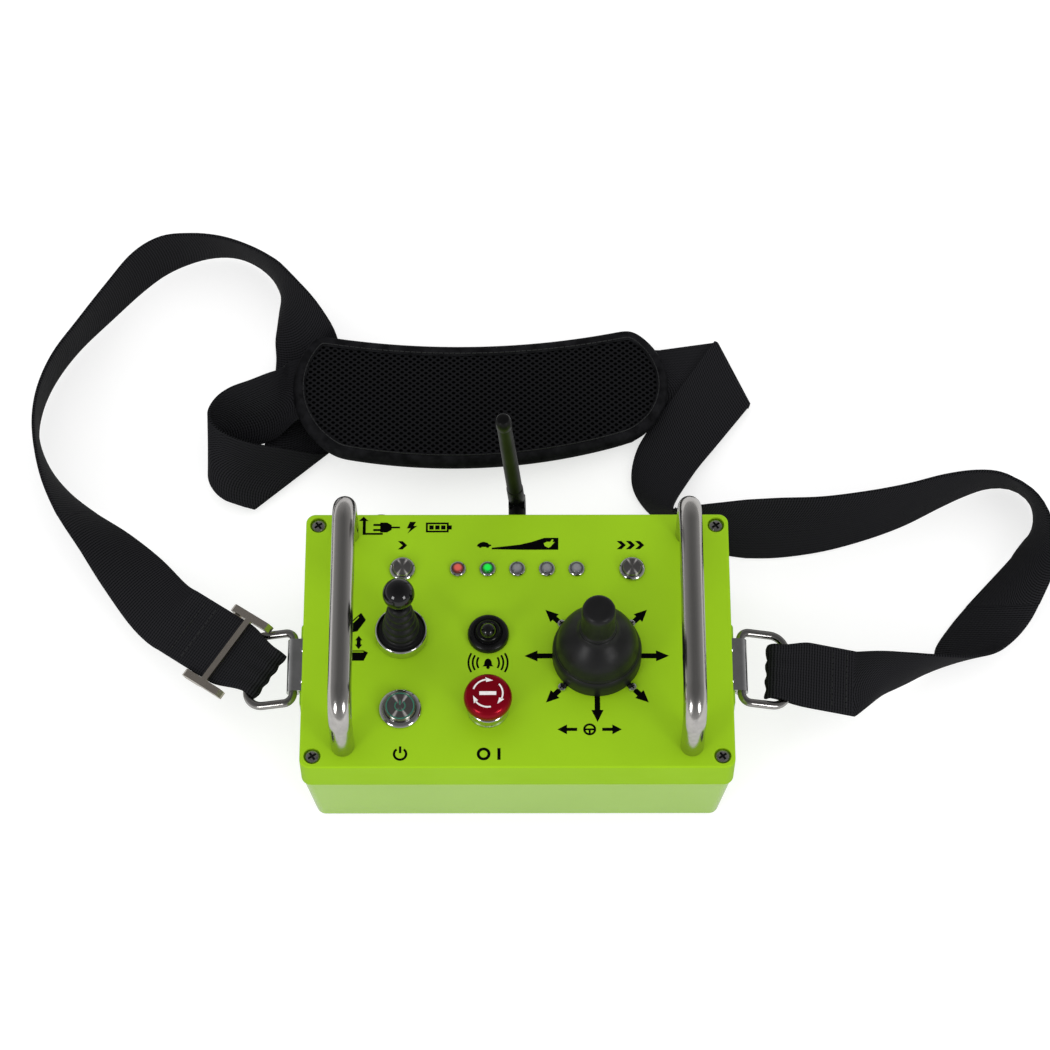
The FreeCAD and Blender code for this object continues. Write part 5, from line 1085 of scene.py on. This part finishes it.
def fold_rows(low, high):
    """Half-round rows of the webbing along its slanted fold, from one height to another."""
    line = FOLD_FRONT - FOLD_REAR
    outward = Vector((-line.y, line.x, 0)).normalized()
    centre, radius, steps, pull = (low + high) / 2, (high - low) / 2, 12, 0.035
    rows = []
    for step in range(steps + 1):
        turn = math.pi * (step / steps - 0.5)
        shift = outward * (radius * math.cos(turn)) + Vector((0, 0, centre + radius * math.sin(turn)))
        tuck = pull * math.cos(turn)
        rows.append([FOLD_REAR + line * (tuck + (1 - 2 * tuck) * column / (COLUMNS - 1)) + shift
                     for column in range(COLUMNS)])
    return rows


def between_rows(first, last, count):
    """Rows between two rows, with the last one."""
    return [[a.lerp(b, step / count) for a, b in zip(first, last)] for step in range(1, count + 1)]


def lead(axes, reach, arriving, steps):
    """Stations on a loop's upper layer, where a strap leaves the loop or arrives at it."""
    origin, along, across, up = axes
    level = Vector((0, 0, 1)).cross(along).normalized()
    lean = math.degrees(math.atan2(across.dot(along.cross(level)), across.dot(level)))
    lean = 180 - lean if arriving else lean
    return [(origin + along * (reach + step) + up * LAYER, lean) for step in steps]


def stations(route):
    """Places and leans of a route's stations."""
    return [(Vector(point[:3]), point[3]) for point in route]


def row_at(rows, place):
    """Index of the row whose middle lies nearest to a place."""
    return min(range(len(rows)), key=lambda index: (rows[index][COLUMNS // 2] - place).length)


def follow_ring(made):
    """Bend a piece with a ring, from one distance along its loop to another."""
    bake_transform(made)


def loop_sewing(name, axes, lines, body):
    """Rows of stitches that hold a loop's two layers together."""
    origin, along, across, up = axes
    sewing, half = bmesh.new(), 16
    for x in lines:
        stitch_line(sewing, origin + along * x - across * half, origin + along * x + across * half, up, LAYER + 0.85)
    return piece(name, sewing, "thread", body)


def build_webbing():
    """Webbing loops on the rings, the runs of the strap with its fold, and the sewing."""
    left, right = loop_axes(-1, 4.4, 37.0), loop_axes(1, -1.0, -4.0)
    rows = loop_rows(left, LEFT_REACH, 23.0, (10.8, -14.8, 13.5))
    webbing("left_webbing_loop", rows, "left_ring", ["left_strap_loop"], ["left_wire_ring"], "folded")
    rows = loop_rows(right, RIGHT_REACH, 18.0, (7.0, -17.0, 14.5))
    soft_right = [webbing("right_webbing_loop", rows, None, ["right_strap_loop"], ["right_wire_ring"], "folded")]

    pad_rows = webbing_rows(smooth_route([(Vector((x, y, pad_height(x) - UNDER_PAD)), 0) for x, y in PAD_ROUTE]))
    fold = fold_rows(pad_rows[-1][0].z, RIGHT_BEND[0][0][2])
    rows = webbing_rows(smooth_route(lead(left, LEFT_REACH, False, (-1, 4, 9)) + stations(LEFT_ROUTE)))
    rows += twist_rows(rows, LEFT_TWIST, pad_rows) + pad_rows + between_rows(pad_rows[-1], fold[0][::-1], 10)
    cut = row_at(rows, Vector(LEFT_ROUTE[3][:3]))
    made = webbing("strap_left_end", rows[:cut + 1], None, ["strap_left"], ["floor"])
    follow_ring(made)
    webbing("strap_left_run", rows[cut:], "enclosure", ["strap_left", "strap_pad_run"], ["floor"])

    run = webbing_rows(smooth_route(stations(RIGHT_ROUTE)))
    end = webbing_rows(smooth_route(lead(right, RIGHT_REACH, True, (1.5, 0.5, -1))))
    rows = fold + twist_rows(fold, RIGHT_BEND, run) + run + twist_rows(run, RIGHT_TWIST, end) + end
    cut = row_at(rows, (Vector(RIGHT_TWIST[0][0]) + Vector(RIGHT_TWIST[0][1])) / 2)
    soft_right.append(webbing("strap_right_end", rows[cut:], None, ["strap_right"], ["floor"]))
    webbing("strap_right_run", rows[:cut + 1], "enclosure", ["strap_right"], ["floor"])

    loop_sewing("left_loop_sewing", left, (34.0, 42.0), "left_ring")
    soft_right.append(loop_sewing("right_loop_sewing", right, (24.0, 32.0), None))
    for made in soft_right:
        follow_ring(made)


# Neck pad

# The pad's outline: rear, right, front and left edge, each an arc through three points in millimetres
PAD_ARCS = [
    ((-111.5, 210.8), (-20.7, 207.7), (64, 222.6)),
    ((64, 222.6), (85, 187), (63.6, 151.4)),
    ((63.6, 151.4), (-20.2, 132.1), (-98.9, 135.1)),
    ((-98.9, 135.1), (-124.6, 177.5), (-111.5, 210.8)),
]


def on_arc(arc, share):
    """Point at a share of the way along the circle through three points."""
    (ax, ay), (bx, by), (cx, cy) = arc
    d = 2 * (ax * (by - cy) + bx * (cy - ay) + cx * (ay - by))
    sums = [px * px + py * py for px, py in arc]
    ux = (sums[0] * (by - cy) + sums[1] * (cy - ay) + sums[2] * (ay - by)) / d
    uy = (sums[0] * (cx - bx) + sums[1] * (ax - cx) + sums[2] * (bx - ax)) / d
    start, through, end = (math.atan2(py - uy, px - ux) for px, py in arc)
    sweep = (end - start) % math.tau
    if (through - start) % math.tau > sweep:
        sweep -= math.tau
    turn = start + sweep * share
    radius = math.hypot(ax - ux, ay - uy)
    return Vector((ux + radius * math.cos(turn), uy + radius * math.sin(turn), 0))


def on_pad(u, v):
    """Point inside the pad's outline, from its left to its right end and from its front to its rear edge."""
    rear, right, front, left = PAD_ARCS
    corner = [Vector((*arc[0], 0)) for arc in (left, rear, right, front)]
    near_far = on_arc(front, 1 - u) * (1 - v) + on_arc(rear, u) * v
    side_side = on_arc(left, v) * (1 - u) + on_arc(right, 1 - v) * u
    corners = (corner[0] * (1 - u) + corner[3] * u) * (1 - v) + (corner[1] * (1 - u) + corner[2] * u) * v
    return near_far + side_side - corners


def on_pad_slope():
    """Place of the pad, sloping down from its left end."""
    fall = math.atan2(PAD_FALL, PAD_LENGTH)
    foot = PAD_END * MM
    return (Matrix.Translation((0, 0, PAD_HIGH * MM)) @ Matrix.Translation(foot) @ Matrix.Rotation(fall, 4, "Y")
            @ Matrix.Translation(-foot))


def pad_rim():
    """Closed rim of the pad with eased corners, and the inward direction at each point."""
    rim = [on_arc(arc, step / count) for arc, count in zip(PAD_ARCS, (58, 26, 58, 26)) for step in range(count)]
    total = len(rim)
    for _ in range(3):
        rim = [(rim[index - 1] + rim[index] * 2 + rim[(index + 1) % total]) / 4 for index in range(total)]
    inward = []
    for index in range(total):
        run = (rim[(index + 2) % total] - rim[index - 2]).normalized()
        inward.append(Vector((run.y, -run.x, 0)))
    return rim, inward


SWELL_STEPS = 20


def swollen(made, sewn, pressure, cap):
    """Swell a cushion as cloth under pressure, its sewn points held, and keep the result up to a cap."""
    scene = bpy.context.scene
    made.vertex_groups.new(name="sewn").add(sewn, 1.0, "REPLACE")
    cloth = made.modifiers.new("Cloth", "CLOTH")
    cloth.settings.vertex_group_mass = "sewn"
    cloth.settings.use_pressure = True
    cloth.settings.uniform_pressure_force = pressure
    cloth.settings.effector_weights.gravity = 0.0
    cloth.collision_settings.use_collision = False
    for step in range(1, SWELL_STEPS + 1):
        scene.frame_set(step)
    grown = made.evaluated_get(bpy.context.evaluated_depsgraph_get()).data
    places = [vert.co.copy() for vert in grown.vertices]
    made.modifiers.remove(cloth)
    for vert, place in zip(made.data.vertices, places):
        shift = place - vert.co
        if shift.length > 1e-9:
            vert.co += shift.normalized() * cap * math.tanh(shift.length / cap)
    scene.frame_set(1)


def pad_cushion():
    """Cushion of spacer mesh, swollen as cloth between its sewn edges."""
    columns, rows, floor, roof = 54, 20, 0.7, 7.2
    length_share, width_share = 0.486, 0.462
    sheets = []
    for height in (floor, roof):
        sheet = bmesh.new()
        bmesh.ops.create_grid(sheet, x_segments=columns, y_segments=rows, size=1.0)
        for vert in sheet.verts:
            u, v = 0.5 + length_share * vert.co.x, 0.5 + width_share * vert.co.y
            vert.co = (on_pad(u, v) + Vector((0, 0, height))) * MM
        sheets.append(sheet)
    cushion = joined(sheets)
    bmesh.ops.bridge_loops(cushion, edges=[edge for edge in cushion.edges if edge.is_boundary])
    bmesh.ops.recalc_face_normals(cushion, faces=cushion.faces)
    rim = {vert for edge in cushion.edges for vert in edge.verts
           if abs(edge.verts[0].co.z - edge.verts[1].co.z) > 1e-5}
    held = rim | {edge.other_vert(vert) for vert in rim for edge in vert.link_edges}
    cushion.verts.index_update()
    sewn = [vert.index for vert in cushion.verts if vert in held or vert.co.z < 2 * MM]
    made = piece("neck_pad_cushion", cushion, "pad_cloth", None, ["neck_pad"], crease=180)
    swollen(made, sewn, 4.0, 4.4 * MM)
    made.data.transform(on_pad_slope())
    with_modifier(made, "SUBSURF", levels=1, render_levels=1)
    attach(made, "enclosure")


def pad_tape(rim, inward):
    """Tape folded round the pad's edge, from its section of (inset, height) points."""
    section = [(7.0, 7.5), (6.6, 8.1), (4.2, 8.9), (1.6, 8.4), (0.2, 6.6), (0.0, 4.4), (0.3, 2.0), (1.8, 0.5),
               (4.5, 0.1), (7.0, 0.4)]
    width, thickness = 24 * MM, 0.5 * MM
    loop = list(zip(rim, inward))
    tape, length = strip([[place + side * inset + Vector((0, 0, height)) for inset, height in section]
                          for place, side in loop + loop[:1]])
    bmesh.ops.remove_doubles(tape, verts=tape.verts, dist=CLOSE_POINTS)
    bmesh.ops.recalc_face_normals(tape, faces=tape.faces)
    moved(tape, on_pad_slope())
    made = piece("neck_pad_tape", tape, "binding_tape", "enclosure", ["neck_pad"], crease=180)
    with_modifier(made, "SOLIDIFY", thickness=thickness, offset=-1.0)
    with_modifier(made, "SUBSURF", levels=1, render_levels=1)


def pad_sewing(rim, inward):
    """Row of stitches along the tape."""
    inset, height = 5.6, 8.55
    sewing = bmesh.new()
    total = len(rim)
    for index in range(total):
        ends = [rim[at % total] + inward[at % total] * inset + Vector((0, 0, height)) for at in (index, index + 1)]
        stitch_line(sewing, *ends, Vector((0, 0, 1)), 0.0, 1)
    moved(sewing, on_pad_slope())
    piece("neck_pad_sewing", sewing, "thread", "enclosure", ["neck_pad"])


def build_neck_pad():
    """Crescent neck pad: cushion swollen as cloth, bound edge, and a row of stitches along the tape."""
    pad_cushion()
    rim, inward = pad_rim()
    pad_tape(rim, inward)
    pad_sewing(rim, inward)


# Panel signs

def arrow(x, y, heading, tail, head_start, tip, shaft, head):
    """Straight arrow from one radius to another round a centre."""
    turn = math.radians(heading)
    along, across = Vector((math.cos(turn), math.sin(turn))), Vector((-math.sin(turn), math.cos(turn)))
    points = [(tail, -shaft), (head_start, -shaft), (head_start, -head), (tip, 0), (head_start, head),
              (head_start, shaft), (tail, shaft)]
    places = [along * run + across * side / 2 for run, side in points]
    return [(x + place.x, y + place.y) for place in places]


def chevron(x, y, half):
    """Outline of a bold chevron pointing right."""
    return [(x - half, y - half), (x, y - half), (x + half, y), (x, y + half), (x - half, y + half), (x, y)]


def charge_sign():
    """Arrow to the charge socket, plug, bolt and battery."""
    shapes = [[(-80.8, 71.0), (-83.2, 68.5), (-81.2, 68.5), (-81.2, 60.3), (-70.6, 60.3), (-70.6, 61.4), (-79.6, 61.4),
               (-79.6, 68.5), (-78.3, 68.5)]]
    shapes.append([(-72, 61.7), (-68.4, 61.7), (-66, 63.2), (-66, 66), (-68.4, 67.5), (-72, 67.5)])
    shapes += [bar(-75.6, 62.5, -71.9, 63.7), bar(-75.6, 65.5, -71.9, 66.7), bar(-66.1, 64.1, -61.6, 65.1)]
    shapes.append([(-56.4, 67.9), (-53.2, 67.9), (-54.6, 65.5), (-52.6, 65.5), (-57.6, 61.1), (-56, 64.1),
                   (-58, 64.1)])
    shapes += [bar(-48, 61.7, -36, 62.7), bar(-48, 66.5, -36, 67.5), bar(-48, 62.7, -47, 66.5),
               bar(-37, 62.7, -36, 66.5), bar(-36, 63.4, -34.4, 65.8)]
    return shapes + [bar(x, 63.4, x + 2.3, 65.8) for x in (-46.2, -43.1, -40)]


def speed_sign():
    """Tortoise, rising wedge, one chevron for slow and three for fast."""
    shapes = [[(-21.1, 53.5), (-20.7, 54.6), (-19.4, 55.6), (-17.5, 56.1), (-15.6, 55.5), (-14.7, 54.6), (-13.7, 54.4),
               (-13.6, 53.7), (-14.6, 53.4), (-15.1, 52.6), (-16.0, 52.6), (-16.3, 53.1), (-18.6, 53.1), (-18.9, 52.6),
               (-19.8, 52.6), (-20.1, 53.2)]]
    shapes.append([(-13.3, 51.7), (3.0, 51.4), (21.5, 51.4), (21.6, 58.4), (14.3, 58.4), (7.6, 56.0), (1.3, 54.4),
                   (-13.3, 52.6)])
    return shapes + [chevron(x, 54.1, 2.4) for x in (-60.1, 54.6, 59.4, 64.2)]


def tilt_sign():
    """Tilted tray, double arrow and flat tray."""
    double = [(-82, 1.6), (-83.9, -1), (-83, -1), (-83, -3.4), (-83.9, -3.4), (-82, -6), (-80.1, -3.4), (-81, -3.4),
              (-81, -1), (-80.1, -1)]
    return [[(-88.6, 7.4), (-89.4, 4), (-86.2, 3.6), (-82.9, 4.1), (-78.5, 10.7), (-81.1, 14.8)], double,
            [(-90.5, -12.6), (-79.3, -12.6), (-77.1, -8), (-79.4, -6.8), (-90.5, -6.8)]]


def build_panel_signs():
    """Printed signs on the lid, as plain pictograms."""
    low, high = TOP + 0.01, TOP + 0.01 + looks().sizes.print_height / MM
    x, y = middle("steering_collar")[:2]
    flat = charge_sign() + speed_sign() + tilt_sign()
    for heading in range(0, 360, 45):
        flat.append(arrow(x, y, heading, 22.0, 30.6, 33.5 if heading == 90 else 37.3, 2.8, 6.2))
    for side in (-1, 1):
        flat.append(arrow(36.9, -51.4, 90 - side * 90, 6.4, 11.6, 16.4, 1.7, 5.4))
    flat += [bar(34.5, -51.9, 39.3, -50.9), bar(36.4, -53.8, 37.4, -51.4)]
    flat.append([(-17.9, -15.9), (-12.3, -15.9), (-13.1, -14.9), (-13.3, -13.1), (-14.0, -11.9), (-15.1, -11.4),
                 (-16.2, -11.9), (-16.9, -13.1), (-17.1, -14.9)])
    flat.append(bar(-10.2, -68.2, -8.6, -61.8))
    signs = [prism(outline, low, high) for outline in flat]
    signs += [arc_band(36.9, -51.4, 2.2, 3.3, 0, 360, low, high), arc_band(-15.1, -16.5, 0.05, 0.9, 0, 360, low, high),
              arc_band(-17.2, -65.0, 2.0, 3.5, 0, 360, low, high), power_sign(-59.7, -65.0, 3.7, 1.2, low, high)]
    for start in (-32, 148):
        signs += [arc_band(-15.1, -13.8, r, r + 1.0, start, 64, low, high, 16) for r in (5.2, 7.4, 9.6)]
    piece("panel_print", joined(signs), "panel_ink", "enclosure")
    hare = [(13.9, 55.2), (14.4, 53.6), (16.4, 52.5), (17.7, 53.4), (18.9, 54.9), (19.7, 56.0), (18.5, 55.7),
            (19.0, 57.2), (18.3, 57.5), (17.3, 56.0), (15.6, 56.1)]
    lines = [[(-88.4, 6.2), (-88.0, 5.8), (-82.0, 12.2), (-82.4, 12.6)], bar(-90.5, -7.9, -79.4, -7.4)]
    clear = [prism(outline, high - 0.01, high + 0.02) for outline in [hare] + lines]
    piece("panel_clear", joined(clear), "lid_paint", "enclosure")


def dress_hidden_parts():
    """Materials on the parts inside the closed box."""
    dress("screw_steel", "handle_screws", "board_screws", "panel_nuts")
    dress("board_lacquer", "circuit_board")
    dress("battery_sleeve", "battery")


# Stage

def seen_rays(tree):
    """Kinds of rays, and a mask of those that see the studio straight on or through glass."""
    rays = add(tree, "ShaderNodeLightPath").outputs
    return rays, maths(tree, "MAXIMUM", rays["Is Camera Ray"], rays["Is Transmission Ray"])


def place_camera(scene):
    """Camera above and before the box."""
    camera = bpy.data.cameras.new("camera")
    camera.lens, camera.sensor_width, camera.clip_end = looks().studio.lens, 36.0, 20.0
    eye = bpy.data.objects.new("camera", camera)
    place, (turn, tilt, roll) = (0, -0.7717, 1.7012), (-0.281, 27.255, 0.192)
    aim = (Matrix.Rotation(math.radians(turn), 4, "Z") @ Matrix.Rotation(math.radians(tilt), 4, "X")
           @ Matrix.Rotation(math.radians(roll), 4, "Z"))
    eye.matrix_world = Matrix.Translation(place) @ aim
    scene.collection.objects.link(eye)
    scene.camera = eye


def lay_floor(scene):
    """White floor that keeps the shadows."""
    half, height = 6.0, -0.0004
    bm = bmesh.new()
    bmesh.ops.create_grid(bm, x_segments=1, y_segments=1, size=half)
    bmesh.ops.translate(bm, verts=bm.verts, vec=(0, 0, height))
    mesh = bpy.data.meshes.new("floor")
    bm.to_mesh(mesh)
    bm.free()
    floor = bpy.data.objects.new("floor", mesh)
    scene.collection.objects.link(floor)
    material = bpy.data.materials.new("white_floor")
    material.use_nodes = True
    tree = material.node_tree
    tree.nodes.clear()
    rays, seen = seen_rays(tree)
    shine = maths(tree, "MULTIPLY", rays["Is Glossy Ray"], 0.3)
    level = maths(tree, "ADD", maths(tree, "MULTIPLY", seen, 0.66), shine)
    matt = add(tree, "ShaderNodeBsdfDiffuse", {"Color": (0.45, 0.45, 0.45, 1)})
    glow = add(tree, "ShaderNodeEmission", {"Color": (1, 1, 1, 1), "Strength": level})
    both = add(tree, "ShaderNodeAddShader", {0: matt.outputs[0], 1: glow.outputs[0]})
    add(tree, "ShaderNodeOutputMaterial", {"Surface": both.outputs[0]})
    mesh.materials.append(material)


def light_world(scene):
    """Even fill from all round, white behind the box and darker overhead in reflections."""
    world = bpy.data.worlds.new("studio")
    scene.world = world
    world.use_nodes = True
    tree = world.node_tree
    tree.nodes.clear()
    rays, seen = seen_rays(tree)
    up = split_up(tree, add(tree, "ShaderNodeTexCoord").outputs["Generated"])["Z"]
    glossy = maths(tree, "MULTIPLY", rays["Is Glossy Ray"], ranged(tree, up, (0.0, 0.9), (0.4, 0.12)))
    plain = maths(tree, "SUBTRACT", 1.0, maths(tree, "MAXIMUM", seen, rays["Is Glossy Ray"]))
    fill = maths(tree, "MULTIPLY", plain, looks().studio.fill)
    level = maths(tree, "ADD", maths(tree, "ADD", seen, glossy), fill)
    back = add(tree, "ShaderNodeBackground", {"Color": (1, 1, 1, 1), "Strength": level})
    add(tree, "ShaderNodeOutputWorld", {"Surface": back.outputs[0]})


def hang_softboxes(scene):
    """Softbox to the left and to the right, in front of the box."""
    target = Vector((0, 0.05, 0))
    for name, place in (("softbox_left", (-1.05, -1.15, 0.75)), ("softbox_right", (1.05, -1.15, 0.75))):
        lamp = bpy.data.lights.new(name, "AREA")
        lamp.shape, lamp.size, lamp.size_y, lamp.energy = "RECTANGLE", 0.45, 0.55, looks().studio.softbox
        box = bpy.data.objects.new(name, lamp)
        aim = (target - Vector(place)).to_track_quat("-Z", "Y").to_matrix().to_4x4()
        box.matrix_world = Matrix.Translation(place) @ aim
        scene.collection.objects.link(box)


def build_stage():
    """Camera, white floor, two softboxes and an even fill."""
    scene = bpy.context.scene
    scene.view_settings.view_transform = "Standard"
    for work in (place_camera, lay_floor, light_world, hang_softboxes):
        work(scene)


# Add-on

class RemoteOperator:
    """Common part of the operators."""
    bl_options = {"REGISTER", "UNDO"}
    work = None

    def execute(self, context):
        type(self).work()
        return {"FINISHED"}


def operator(idname, label, work):
    """Operator class for one piece or group of like pieces."""
    name = "REMOTE_OT_" + idname
    return type(name, (RemoteOperator, bpy.types.Operator),
                {"bl_idname": "remote." + idname, "bl_label": label, "__doc__": work.__doc__,
                 "work": staticmethod(work)})


OPERATORS = [
    operator("stage", "Stage", build_stage),
    operator("finishes", "Finishes", make_finishes),
    operator("box", "Box and Lid Screws", build_box),
    operator("handles", "Handles", build_handles),
    operator("tilt_lever", "Tilt Lever", build_tilt_lever),
    operator("alarm_toggle", "Alarm Toggle", build_alarm_toggle),
    operator("steering", "Steering Joystick", build_steering),
    operator("push_buttons", "Push Buttons", build_push_buttons),
    operator("stop_button", "Stop Button", build_stop_button),
    operator("lamps", "Lamps", build_lamps),
    operator("rear_fittings", "Rear Fittings", build_rear_fittings),
    operator("strap_hardware", "Strap Hardware", build_strap_hardware),
    operator("webbing", "Webbing", build_webbing),
    operator("neck_pad", "Neck Pad", build_neck_pad),
    operator("panel_signs", "Panel Signs", build_panel_signs),
    operator("hidden_parts", "Hidden Parts", dress_hidden_parts),
]


class REMOTE_PT_looks(bpy.types.Panel):
    """Lists the operators that dress the remote control."""
    bl_idname = "REMOTE_PT_looks"
    bl_label = "Remote Control"
    bl_space_type = "VIEW_3D"
    bl_region_type = "UI"
    bl_category = "Remote"

    def draw(self, context):
        for made in OPERATORS:
            self.layout.operator(made.bl_idname)


CLASSES = [RemoteColours, RemoteSizes, StudioLight, RemoteLooks] + OPERATORS + [REMOTE_PT_looks]


def register():
    for made in CLASSES:
        bpy.utils.register_class(made)
    bpy.types.Scene.remote_looks = PointerProperty(type=RemoteLooks)


def unregister():
    del bpy.types.Scene.remote_looks
    for made in reversed(CLASSES):
        bpy.utils.unregister_class(made)


def main():
    register()
    for made in OPERATORS:
        group, label = made.bl_idname.split(".")
        getattr(getattr(bpy.ops, group), label)()
    bpy.context.view_layer.update()


if __name__ == "__main__":
    main()
